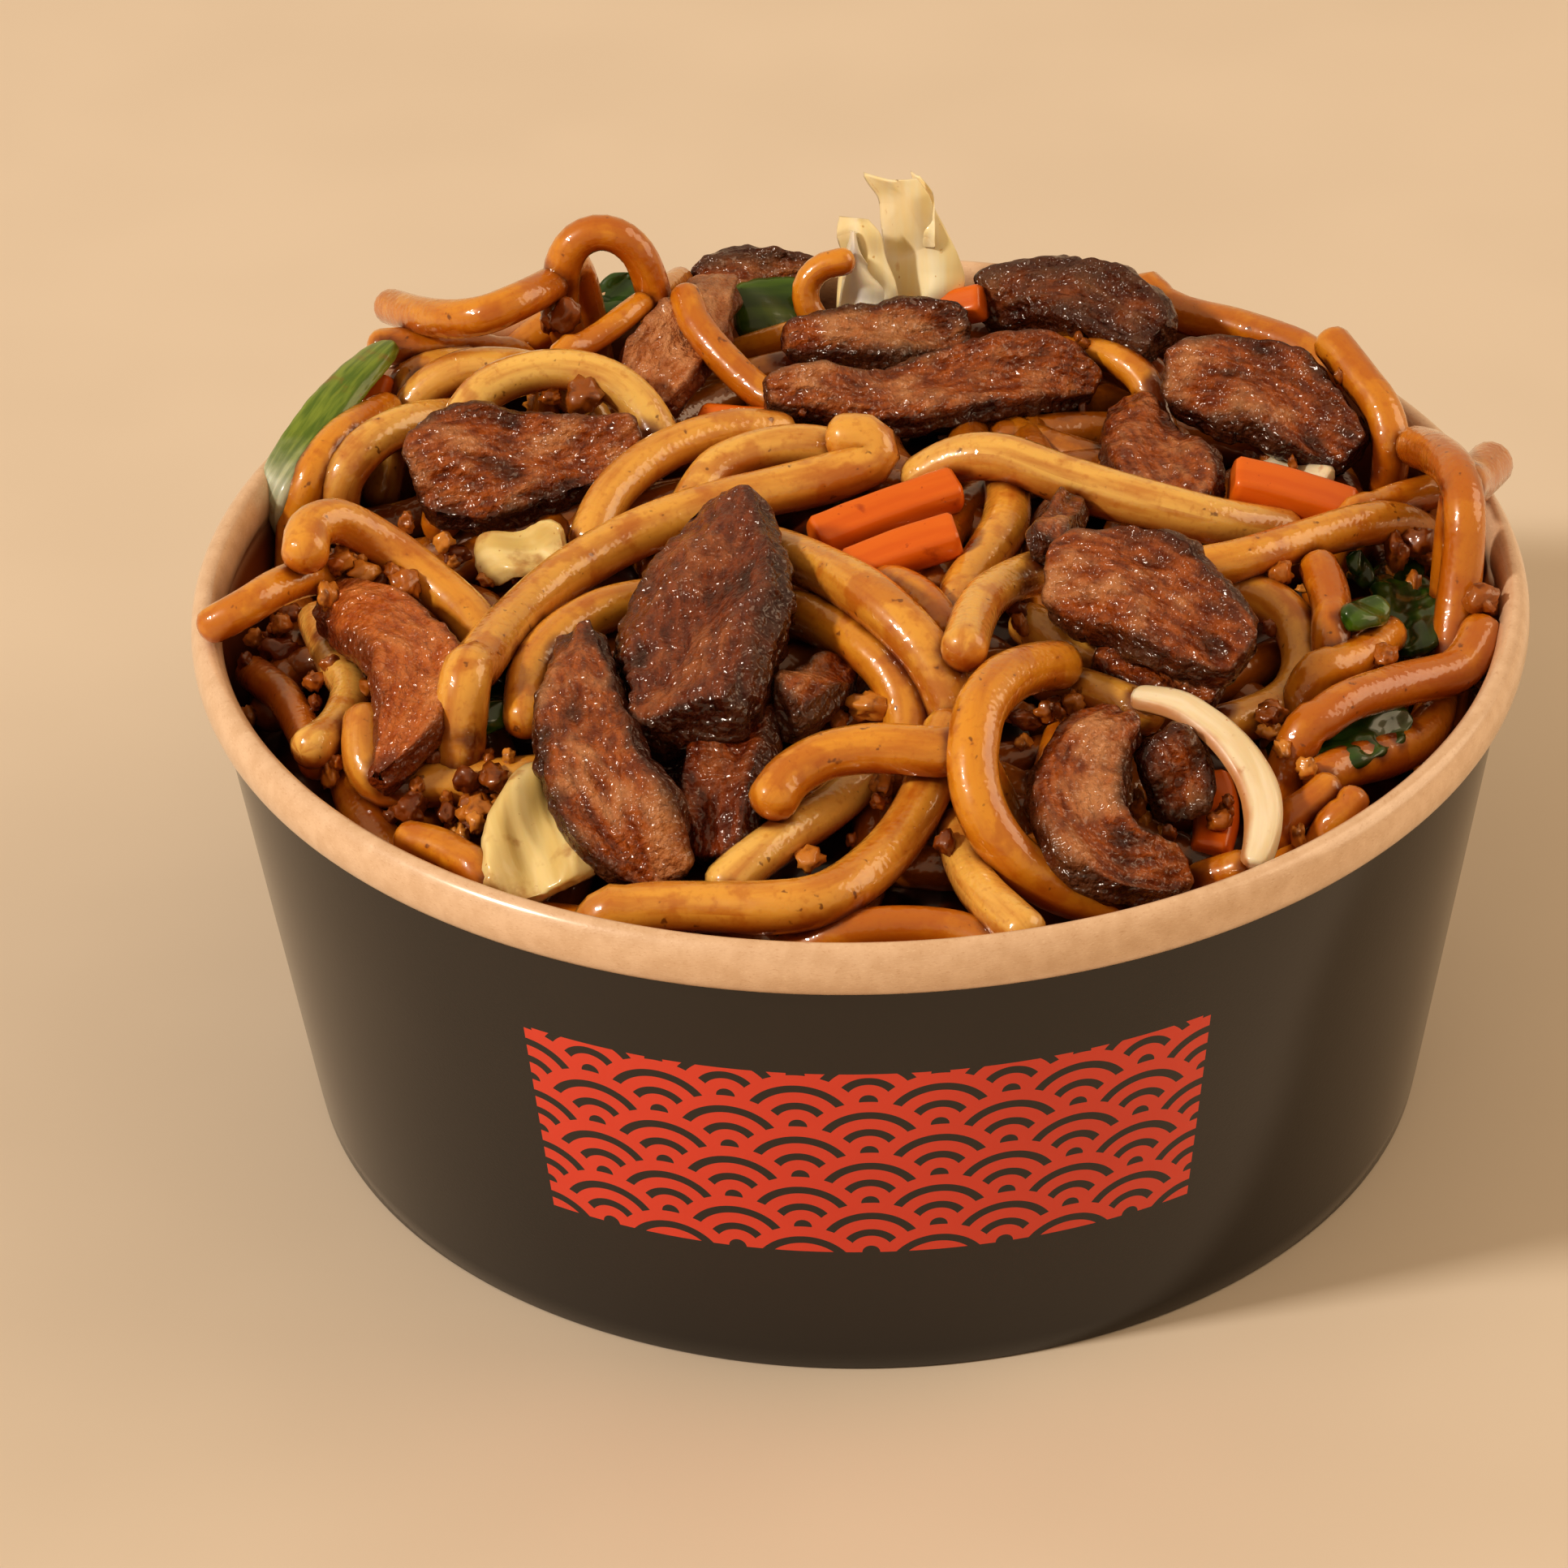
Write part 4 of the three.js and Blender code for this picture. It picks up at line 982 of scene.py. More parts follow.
def lay_under_noodles():
    """Lays the hidden noodles on a lower bed and returns their middle lines."""
    draw = random.Random(UNDER_SEED)
    low = Heap()
    lines = []
    for k in range(UNDER_NOODLES):
        turn = k * GOLDEN_TURN
        out = UNDER_REACH * math.sqrt((k + 0.5) / UNDER_NOODLES)
        bend = draw.choice((-1, 1)) / (TIGHTEST_BEND + BEND_RANGE * draw.random())
        heading = turn + math.pi / 2 + draw.uniform(-1, 1)
        middle = np.array([out * math.cos(turn), out * math.sin(turn)])
        at = middle - np.array([math.cos(heading), math.sin(heading)]) * UNDER_LENGTH / 2
        places = []
        for _ in range(round(UNDER_LENGTH / SAMPLE)):
            at = at + SAMPLE * np.array([math.cos(heading), math.sin(heading)])
            heading += SAMPLE * bend
            if np.linalg.norm(at) < wall_inside(CORE_SHOULDER) - UNDER_RADIUS - 1:
                places.append(np.array([at[0], at[1], 2 * BOWL_HEIGHT]))
        if len(places) < 4:
            continue
        reaches = [low.drop(p, DOWN, UNDER_RADIUS, -UNDER_SINK) for p in places]
        stretch(reaches, NOODLE_STIFFNESS)
        line = np.array([p + DOWN * t for p, t in zip(places, reaches)])
        for i, p in enumerate(line):
            line[i][2] = min(p[2], core_height(p[0], p[1]) - 0.4 * UNDER_RADIUS)
        low.lay(line, UNDER_RADIUS)
        lines.append(line)
    return lines


under_lines = lay_under_noodles()
print(len(under_lines), "noodles underneath")

# %% [markdown]
# ## Noodles as tubes
# A noodle is a curve with a round section. Blender's curve sweeps the section, its points carry
# the thickness, and the last points draw in to a round end. The curve is then made a mesh, so
# that each point can carry marks: it is browned where it touches another piece, partly by sauce
# and partly as painted contact shade, and darker on its underside as painted shade.

# %% Painted contact shade and sauce
CONTACT_SHADE_REACH = 1.7
SEARCH = 7.0

contact_tree = kdtree.KDTree(len(heap.at))
for index, at in enumerate(heap.at):
    contact_tree.insert(at, index)
contact_tree.balance()
print(len(heap.at), "balls in the heap")


def contact_shade_and_sauce(points, owner):
    """For each point in millimetres, how close the nearest other piece is: one where they touch. The
    noodle is browned there, partly as sauce and partly as painted contact shade.
    """
    result = np.zeros(len(points), np.float32)
    for i, point in enumerate(points):
        least = CONTACT_SHADE_REACH
        for _, index, away in contact_tree.find_range(point, SEARCH):
            if heap.owner[index] != owner:
                least = min(least, away - heap.reach[index])
        result[i] = 1 - max(0.0, least) / CONTACT_SHADE_REACH
    return result


# %% Tubes
TUBE_STEP = 1.3
TUBE_ROUND = 6
END_STEPS = (25, 50, 70, 84)
DOME_DEPTH = 0.8
FULLER = 1.04


def tube_mesh(name, line, radius, draw):
    """A noodle's mesh in metres, with its ends drawn in to a dome."""
    fine = spaced(smooth_line(line), TUBE_STEP, 3)
    waver = [draw.uniform(0, 6.28) for _ in range(3)]
    along = np.arange(len(fine)) * TUBE_STEP
    swell = 1 + 0.03 * np.sin(along / 6 + waver[0]) + 0.01 * np.sin(along / 2.7 + waver[1])
    places = list(fine)
    radii = list(FULLER * radius * swell)
    for end, inner in ((0, 1), (-1, -2)):
        out = unit(fine[end] - fine[inner])
        dome = [fine[end] + out * radius * math.sin(math.radians(a)) * DOME_DEPTH for a in END_STEPS]
        thin = [radii[end] * math.cos(math.radians(a)) for a in END_STEPS]
        if end == 0:
            places = dome[::-1] + places
            radii = thin[::-1] + radii
        else:
            places = places + dome
            radii = radii + thin
    data = bpy.data.curves.new(name, "CURVE")
    data.dimensions = "3D"
    data.bevel_depth = MM
    data.bevel_resolution = TUBE_ROUND
    data.use_fill_caps = True
    spline = data.splines.new("POLY")
    spline.points.add(len(places) - 1)
    spline.points.foreach_set("co", [c for p in places for c in (*(p * MM), 1)])
    spline.points.foreach_set("radius", radii)
    curve = bpy.data.objects.new(name, data)
    mesh = bpy.data.meshes.new_from_object(curve)
    bpy.data.objects.remove(curve)
    bpy.data.curves.remove(data)
    return mesh


# %% Marks on a mesh


def mark(mesh, name, values):
    """Stores one number for each vertex."""
    layer = mesh.attributes.new(name, "FLOAT", "POINT")
    layer.data.foreach_set("value", np.asarray(values, np.float32))


def coordinates(mesh):
    """A mesh's vertices in millimetres."""
    co = np.zeros(len(mesh.vertices) * 3, np.float32)
    mesh.vertices.foreach_get("co", co)
    return co.reshape(-1, 3) / MM


def facings(mesh):
    """The direction that each vertex faces."""
    normals = np.zeros(len(mesh.vertices) * 3, np.float32)
    mesh.vertices.foreach_get("normal", normals)
    return normals.reshape(-1, 3)


def give_uv(mesh, values):
    """Gives a mesh a UV map from two millimetre values for each vertex."""
    corners = np.zeros(len(mesh.loops), np.int32)
    mesh.loops.foreach_get("vertex_index", corners)
    layer = mesh.uv_layers.new(name="UVMap")
    layer.data.foreach_set("uv", (values[corners] * MM).ravel().astype(np.float32))


def joined(meshes, name):
    """One mesh of several, with their marks."""
    objects = [bpy.data.objects.new(name, mesh) for mesh in meshes]
    for obj in objects:
        bpy.context.scene.collection.objects.link(obj)
    with bpy.context.temp_override(
        active_object=objects[0], object=objects[0], selected_objects=objects,
        selected_editable_objects=objects,
    ):
        bpy.ops.object.join()
    mesh = objects[0].data
    bpy.data.objects.remove(objects[0])
    bm = bmesh.new()
    bm.from_mesh(mesh)
    bmesh.ops.remove_doubles(bm, verts=bm.verts, dist=1e-6)
    bmesh.ops.recalc_face_normals(bm, faces=bm.faces)
    bm.to_mesh(mesh)
    bm.free()
    return mesh


# %% [markdown]
# ## The look of a noodle
# Udon is wheat dough, cream-coloured and slightly see-through. Fried in soy sauce it turns amber,
# darker in streaks along its length, and the sauce leaves a thin gloss. So the colour is mixed
# from pale to amber by a number for each noodle, then browned where it touches another piece,
# partly by sauce and partly as painted contact shade, and darkened on its underside as painted
# shade, with a few dark specks of pepper. A little light passes under the skin, and a clear coat
# is the gloss.

# %% The noodle material
STREAK = 2.4
SPECK = 1.5
STAIN = 6
SKIN_GRAIN = 0.9
SKIN_WAVE = 2.2
SAUCE_BEAD = 0.7


def noodle_material(name, pale, amber, brown, sauce_and_shade_brown):
    """Boiled dough in sauce, with colours from dry to wet. It is browned by sauce and painted contact
    shade where it touches other pieces, and darker underneath as painted shade.
    """
    material, tree = new_material(name)
    run = add(tree, "UVMap")
    place = add(tree, "TexCoord").outputs["Object"]
    tint = add(tree, "Attribute", attribute_name="tint").outputs["Fac"]
    # Painted contact shade, partly sauce: one where the noodle touches another piece.
    wet_and_contact_shade = add(tree, "Attribute", attribute_name="wet_and_contact_shade").outputs["Fac"]
    long_run = add(tree, "Mapping", {"Vector": run, "Scale": (0.2, 1, 1)})
    streak = add(tree, "TexNoise", {"Vector": long_run, "Scale": size_mm(STREAK), "Detail": 4.0})
    cloud = add(tree, "TexNoise", {"Vector": place, "Scale": size_mm(STAIN), "Detail": 4.0})
    fine = add(tree, "TexNoise", {"Vector": place, "Scale": size_mm(SKIN_GRAIN), "Detail": 3.0})
    share = add(tree, "MapRange", [tint, 0.0, 0.55], **SMOOTHLY)
    shade = add(tree, "Mix", [share, pale, amber], **COLOURS)
    share = add(tree, "MapRange", [tint, 0.5, 1.0, 0.0, 0.6], **SMOOTHLY)
    shade = add(tree, "Mix", [share, shade, brown], **COLOURS)
    stained = add(tree, "MapRange", [streak, 0.42, 0.7, 0.0, 0.6], **SMOOTHLY)
    shade = add(tree, "Mix", [stained, shade, brown], **COLOURS)
    grain = add(tree, "MapRange", [fine, 0.52, 0.74, 0.0, 0.3], **SMOOTHLY)
    shade = add(tree, "Mix", [grain, shade, brown], **COLOURS)
    # Painted shade: the points that face down are browned.
    painted_underside_shade = add(tree, "Attribute", attribute_name="painted_underside_shade").outputs["Fac"]
    shaded_underside = add(tree, "Math", [cloud, 0.3, painted_underside_shade], operation="MULTIPLY_ADD")
    share = add(tree, "MapRange", [shaded_underside, 0.35, 0.95, 0.0, 0.9], **SMOOTHLY)
    shade = add(tree, "Mix", [share, shade, brown], **COLOURS)
    film_edge = add(tree, "Math", [tint, 0.2, cloud], operation="MULTIPLY_ADD")
    share = add(tree, "MapRange", [film_edge, 0.6, 0.7, 0.0, 0.5], **SMOOTHLY)
    shade = add(tree, "Mix", [share, shade, brown], **COLOURS)
    # Browned to the darkest colour where it touches another piece: partly sauce, partly painted contact
    # shade.
    sauce_and_contact_shade = add(tree, "Math", [cloud, 1.1, wet_and_contact_shade], operation="MULTIPLY_ADD")
    share = add(tree, "MapRange", [sauce_and_contact_shade, 0.72, 1.55, 0.0, 0.95], **SMOOTHLY)
    shade = add(tree, "Mix", [share, shade, sauce_and_shade_brown], **COLOURS)
    dots = add(tree, "TexNoise", {"Vector": place, "Scale": size_mm(SPECK), "Detail": 2.0})
    dots = add(tree, "MapRange", [dots, 0.68, 0.76, 0.0, 0.7], **SMOOTHLY)
    shade = add(tree, "Mix", [dots, shade, "#5A2A0A"], **COLOURS)
    rough = add(tree, "MapRange", [cloud, 0.3, 0.7, 0.26, 0.36], **SMOOTHLY)
    skin = add(tree, "TexNoise", {"Vector": place, "Scale": size_mm(SKIN_WAVE), "Detail": 1.0})
    film = add(tree, "TexNoise", {"Vector": place, "Scale": size_mm(SAUCE_BEAD), "Detail": 0.0})
    bump = add(tree, "Bump", {"Height": skin, "Strength": 0.3, "Distance": 0.0003})
    beads = add(tree, "Bump", {
        "Height": film, "Strength": 0.5, "Distance": 0.0002,
        "Normal": bump,
    })
    shader = add(tree, "BsdfPrincipled", {
        "Base Color": shade, "Roughness": rough, "Normal": bump, "IOR": 1.5,
        "Specular IOR Level": 0.35, "Subsurface Weight": 0.16,
        "Subsurface Radius": (1.0, 0.5, 0.15), "Subsurface Scale": 0.002, "Coat Weight": 1.0,
        "Coat Roughness": 0.07, "Coat IOR": 1.6, "Coat Normal": beads,
    })
    add(tree, "OutputMaterial", [shader])
    return material


# Fried dough, still pale where it is dry, and for the noodles underneath, dough that has lain in the sauce
# and is darkened further as painted shade.
sauced_udon = noodle_material("udon in soy sauce", "#F0C66C", "#E09A26", "#B25A00", "#702E00")
shaded_deep_udon = noodle_material("udon in sauce with painted shade", "#CC8618", "#AE660A", "#824204", "#461E02")
print("noodle material:", len(sauced_udon.node_tree.nodes), "nodes")

# %% The noodle pieces
NOODLE_SEED = 5
UNSET_TONES = (0.3, 0.8)


def noodle_piece(name, lines, material):
    """Draws noodles as one piece, each with its radius, number in the heap, and tone if set."""
    draw = random.Random(NOODLE_SEED)
    meshes = []
    for line, radius, owner, tone in lines:
        mesh = tube_mesh(name, line, radius, draw)
        length = np.linalg.norm(np.diff(line, axis=0), axis=1).sum() * MM
        around = 2 * math.pi * radius * MM
        layer = mesh.uv_layers[0]
        layer.name = "UVMap"
        uv = np.zeros(len(layer.data) * 2, np.float32)
        layer.data.foreach_get("uv", uv)
        uv = uv.reshape(-1, 2) * (length, around) + (draw.random(), 0)
        layer.data.foreach_set("uv", uv.ravel().astype(np.float32))
        tint = draw.uniform(*UNSET_TONES) if tone is None else tone
        mark(mesh, "tint", np.full(len(mesh.vertices), tint))
        # Painted contact shade, partly sauce: marked by how close the nearest other piece is.
        mark(mesh, "wet_and_contact_shade", contact_shade_and_sauce(coordinates(mesh), owner))
        # Painted shade: one where a point faces straight down, zero where it faces up.
        mark(mesh, "painted_underside_shade", 0.5 - 0.5 * facings(mesh)[:, 2])
        meshes.append(mesh)
    return piece(joined(meshes, name), name, [material], ["noodle_heap"])


noodle_piece("noodles", laid_noodles, sauced_udon)
noodle_piece("noodles_below", [(line, UNDER_RADIUS, -1, None) for line in under_lines], shaded_deep_udon)

# %% [markdown]
# ## The bed of sauce
# Under the noodles is more of the same, which the eye can't tell apart. A spun dome with a lumpy
# surface stands for it, wet and painted dark for the shade deep in the heap, low enough to show
# only in the gaps.

# %% The bed
BED_SINK = 5.5
BED_RINGS = 30
BED_LUMP = 1.6
BED_LUMP_SIZE = 4

# Nearly black between the noodles, as sauce and painted shade, with a soft shine.
sauce_bed_with_painted_shade, tree = new_material("thick brown sauce with painted shade")
place = add(tree, "TexCoord").outputs["Object"]
cloud = add(tree, "TexNoise", {"Vector": place, "Scale": size_mm(5), "Detail": 3.0})
share = add(tree, "MapRange", [cloud, 0.35, 0.65], **SMOOTHLY)
shade = add(tree, "Mix", [share, "#2A0F04", "#6A300C"], **COLOURS)
shader = add(tree, "BsdfPrincipled", {
    "Base Color": shade, "Roughness": 0.3, "Coat Weight": 0.6, "Coat Roughness": 0.1,
})
add(tree, "OutputMaterial", [shader])


def bed_outline():
    """The bed in section, from the axis underneath to the axis on top."""
    floor = BASE_TOP + GAP
    edge = wall_inside(CORE_SHOULDER - BED_SINK) - GAP
    outline = [(0.0, floor), (wall_inside(floor) - GAP, floor)]
    for i in range(BED_RINGS + 1):
        outline.append((edge * (1 - i / BED_RINGS), CORE_SHOULDER - BED_SINK))
    return outline


bed = spun("sauce_under_noodles", bed_outline(), closed=False)
for vert in bed.vertices:
    x, y, z = vert.co / MM
    if z > BASE_TOP + 1:
        lump = BED_LUMP * noise.noise(Vector((x, y, 0)) / BED_LUMP_SIZE)
        z = core_height(x, y) - BED_SINK + lump
        room = min(1, (wall_inside(z) - GAP) / max(math.hypot(x, y), GAP))
        vert.co = Vector((x * room, y * room, z)) * MM
piece(bed, "sauce_under_noodles", [sauce_bed_with_painted_shade], ["noodle_heap"])

# %% [markdown]
# ## Bits in the crevices
# A wok leaves crumbs of meat, onion and batter in the sauce, and they end up in the crevices. So
# a seeded rule tries places within listed regions of the heap and keeps one only where a ball on
# the line of sight gets deeper than it does just beside it. Each bit is a small sphere, pushed
# about by noise.

# %% The look of the bits
# Rough and brown, with a small bright spot on each crumb.
glazed_bits, tree = new_material("fried crumbs in glaze")
place = add(tree, "TexCoord").outputs["Object"]
tint = add(tree, "Attribute", attribute_name="tint").outputs["Fac"]
cloud = add(tree, "TexNoise", {"Vector": place, "Scale": size_mm(2), "Detail": 3.0})
share = add(tree, "MapRange", [tint, 0.0, 0.6], **SMOOTHLY)
shade = add(tree, "Mix", [share, "#7A3C0A", "#B0661A"], **COLOURS)
share = add(tree, "MapRange", [tint, 0.6, 1.0], **SMOOTHLY)
shade = add(tree, "Mix", [share, shade, "#D8923A"], **COLOURS)
share = add(tree, "MapRange", [cloud, 0.5, 0.7, 0.0, 0.7], **SMOOTHLY)
shade = add(tree, "Mix", [share, shade, "#5A2208"], **COLOURS)
bump = add(tree, "Bump", {"Height": cloud, "Strength": 0.5, "Distance": 0.0006})
shader = add(tree, "BsdfPrincipled", {
    "Base Color": shade, "Roughness": 0.4, "IOR": 1.4, "Subsurface Weight": 0.1,
    "Subsurface Radius": (1.0, 0.4, 0.1), "Subsurface Scale": 0.001, "Coat Weight": 0.9,
    "Coat Roughness": 0.08, "Coat Normal": bump,
})
add(tree, "OutputMaterial", [shader])
print("crumb material:", len(tree.nodes), "nodes")

# %% The bits
BIT_SEED = 23
BIT_SIZES = (0.6, 1.7)
CREVICE = 2.2
BESIDE = 3.4
TRIES = 25
# Where bits lie: left, right, top and bottom pixel, and how many.
BIT_REGIONS = [
    (285, 500, 640, 1000, 26),
    (400, 640, 930, 1100, 44),
    (490, 720, 640, 720, 8),
    (1560, 1850, 660, 1070, 26),
    (1390, 1520, 880, 1090, 8),
    (1120, 1330, 690, 1060, 10),
    (780, 1120, 840, 1140, 8),
    (560, 1000, 330, 520, 7),
    (1300, 1700, 380, 620, 6),
]

def bit_mesh(at, size, draw):
    """One lumpy crumb."""
    bm = bmesh.new()
    bmesh.ops.create_icosphere(bm, subdivisions=3, radius=1)
    stretch_by = Vector([draw.uniform(0.7, 1.5) for _ in range(3)])
    shift = Vector([draw.uniform(0, 50) for _ in range(3)])
    for vert in bm.verts:
        lump = 1 + 0.5 * noise.noise(vert.co * 1.1 + shift) + 0.4 * noise.noise(vert.co * 2.6 + shift)
        vert.co = (Vector(at) + vert.co * lump * size * stretch_by) * MM
    mesh = bpy.data.meshes.new("bit")
    bm.to_mesh(mesh)
    bm.free()
    mark(mesh, "tint", np.full(len(mesh.vertices), draw.random()))
    return mesh


def bit_meshes():
    """Crumbs where the heap has a crevice, within the listed regions and up to the number wanted in each.
    """
    draw = random.Random(BIT_SEED)
    meshes = []
    for left, right, top, bottom, wanted in BIT_REGIONS:
        made = 0
        for _ in range(wanted * TRIES):
            size = draw.uniform(*BIT_SIZES)
            along = sight(draw.uniform(left, right), draw.uniform(top, bottom))
            depth = heap.drop(EYE, along, size)
            at = EYE + along * depth
            room = wall_inside(at[2]) - size - GAP
            beside = [heap.drop(EYE + side * BESIDE, along, size) for side in (RIGHT, -RIGHT, UP, -UP)]
            deep = depth - np.mean(beside) > CREVICE and depth > max(beside) - 0.5
            if made < wanted and np.hypot(*at[:2]) < room and deep:
                heap.lay([at], size)
                heap.pieces += 1
                made += 1
                meshes.append(bit_mesh(at, size, draw))
    print(len(meshes), "bits")
    return meshes


piece(joined(bit_meshes(), "glazed_bits"), "glazed_bits", [glazed_bits], ["noodle_heap"])

# %% [markdown]
# ## Slices, batons and leaves
# Everything that was cut by a knife starts as the same thing: a block, divided finely and bent
# along its middle line. The kind says how round its edges are, how its outline wanders, how it
# waves, and what relief it has. Beef has bundles of fibre along its length, deep enough to catch
# the light one by one, so they are in the mesh and not only in the material.

# %% Kinds of cut
KINDS = {
    "beef": dict(cell=0.36, corner=7, ragged=0.12, wave=0.7, blunt=0.66, tip=2.6, side=0.5),
    "carrot": dict(cell=0.5, corner=9, ragged=0.0, wave=0.0, blunt=0.82, tip=0.7, side=0.80),
    "cabbage": dict(cell=0.45, corner=4, ragged=0.10, wave=1.1, blunt=0.4, tip=4.0, side=0.4),
    "onion": dict(cell=0.5, corner=2.6, ragged=0.03, wave=0.2, blunt=0.6, tip=1.5, side=0.3, width=0.8),
    "pepper": dict(cell=0.45, corner=4, ragged=0.04, wave=0.4, blunt=0.6, tip=1.5, side=0.4),
    "leek": dict(cell=0.45, corner=3, ragged=0.06, wave=0.4, blunt=0.4, tip=4.0, side=0.4),
    "leaf": dict(cell=0.40, corner=5, ragged=0.12, wave=0.7, blunt=0.4, tip=4.0, side=0.4),
}
SLICE_STEP = 0.5
CORNER_STEP = 4.5
EDGES_APART = 40
OVER_RIM = 3
WAVE_ALONG = 7
WAVE_ACROSS = 0.5
# Degrees by which a slice is turned about its own length, as it lies in the heap.
TILTS = {
    "beef_centre": -24, "beef_front": -16, "beef_fold": -10, "beef_left": -5, "beef_right": -6,
}
# Degrees by which a slice's start is raised and its end lowered.
NODS = {"beef_centre": 4, "beef_front": 6, "beef_fold": 4}

print(len(KINDS), "kinds of cut")

# %% Blocks and bumps


def divided_block(counts):
    """A block from -1 to 1 each way, cut into that many parts along x, y and z."""
    bm = bmesh.new()
    bmesh.ops.create_cube(bm, size=2)
    for axis, count in enumerate(counts):
        edges = [e for e in bm.edges if abs(e.verts[0].co[axis] - e.verts[1].co[axis]) > 1]
        if count > 1:
            bmesh.ops.subdivide_edges(bm, edges=edges, cuts=count - 1, use_grid_fill=True)
    return bm


def bumps(points, sizes, seed=0.0):
    """Smooth noise from -1 to 1 whose features have that size along x, y and z."""
    shift = Vector((seed * 3.7, seed * 1.9, seed * 5.3))
    return np.array([noise.noise(Vector(p) + shift) for p in points / np.array(sizes)])


def relief_of(kind, at, grain, seed):
    """How far the surface stands out, in millimetres, at points of a slice."""
    if kind == "beef":
        lumps = 0.7 * bumps(at, (8, 8, 8), seed) + 0.3 * bumps(at, (3.2, 3.2, 3.2), seed)
        bundles = 0.4 * (0.5 - 2 * np.abs(bumps(grain, (7, 2.4, 3), seed)))
        fibre = 0.12 * (0.4 - 2 * np.abs(bumps(grain, (3.4, 1.2, 1.5), seed + 3)))
        return lumps + bundles + fibre
    if kind == "cabbage":
        ribs = 0.3 * (0.5 - 2 * np.abs(bumps(grain, (12, 2.2, 3), seed)))
        return 0.4 * bumps(at, (7, 7, 7), seed) + ribs
    if kind == "leaf":
        return 0.8 * bumps(at, (2.8, 2.8, 2.8), seed) + 0.12 * bumps(grain, (4, 0.9, 2), seed)
    if kind == "carrot":
        return 0.07 * bumps(at, (3, 3, 3), seed)
    if kind == "onion":
        return 0.08 * bumps(at, (5, 5, 5), seed) + 0.02 * bumps(grain, (8, 0.9, 2), seed)
    return 0.12 * bumps(at, (3, 3, 3), seed) + 0.08 * bumps(grain, (8, 0.9, 2), seed)


# %% Bending a block into a slice


def between_rows(table, row):
    """The numbers of a table at places between its rows."""
    count = np.arange(len(table))
    return np.column_stack([np.interp(row, count, column) for column in table.T])


def slice_path(item, places):
    """A slice's middle line with its widths, in even steps."""
    places = places.copy()
    span = np.linalg.norm(places[-1, :3] - places[0, :3])
    fall = span * math.tan(math.radians(NODS.get(item["name"], 0)))
    places[:, 2] += fall * np.linspace(0.5, -0.5, len(places))
    return spaced(smooth_line(places), SLICE_STEP, 3)


def slice_ways(item, path, row):
    """The ways across and out of a slice, at places between the rows of its path."""
    ahead = between_rows(np.gradient(path[:, :3], axis=0), row)
    ahead /= np.linalg.norm(ahead, axis=1)[:, None]
    across = np.cross(ahead, face_of(item))
    across /= np.linalg.norm(across, axis=1)[:, None]
    out = np.cross(across, ahead)
    tilt = math.radians(TILTS.get(item["name"], 0))
    turned_across = across * math.cos(tilt) + out * math.sin(tilt)
    turned_out = out * math.cos(tilt) - across * math.sin(tilt)
    return turned_across, turned_out


def edge_wander(ragged, run, side, seed):
    """By how much the width is multiplied, so that the two long edges have corners and notches."""
    corners_at = np.round(run / CORNER_STEP - 0.5)
    turning = run / CORNER_STEP - corners_at
    edge_side = np.sign(side) * EDGES_APART
    here, ahead_of = (
        bumps(np.column_stack([corners_at + k + 0.37, edge_side, 0 * run]), (1.7, 1, 1), seed)
        for k in (0, 1)
    )
    angular = here * (1 - turning) + ahead_of * turning
    fine = bumps(np.column_stack([run, edge_side, 0 * run]), (1.3, 1, 1), seed)
    return 1 + ragged * (1.6 * angular + 0.6 * fine)


def place_vertices(mesh, at):
    """Moves a mesh's vertices to places in millimetres."""
    mesh.vertices.foreach_set("co", (at * MM).ravel().astype(np.float32))
    mesh.update()


def inside_wall(at):
    """The same places, with those below the rim drawn in off the wall."""
    room = wall_inside(at[:, 2]) - GAP + OVER_RIM * np.maximum(0, at[:, 2] - BOWL_HEIGHT)
    at[:, :2] *= np.minimum(1, room / np.hypot(at[:, 0], at[:, 1]))[:, None]
    return at


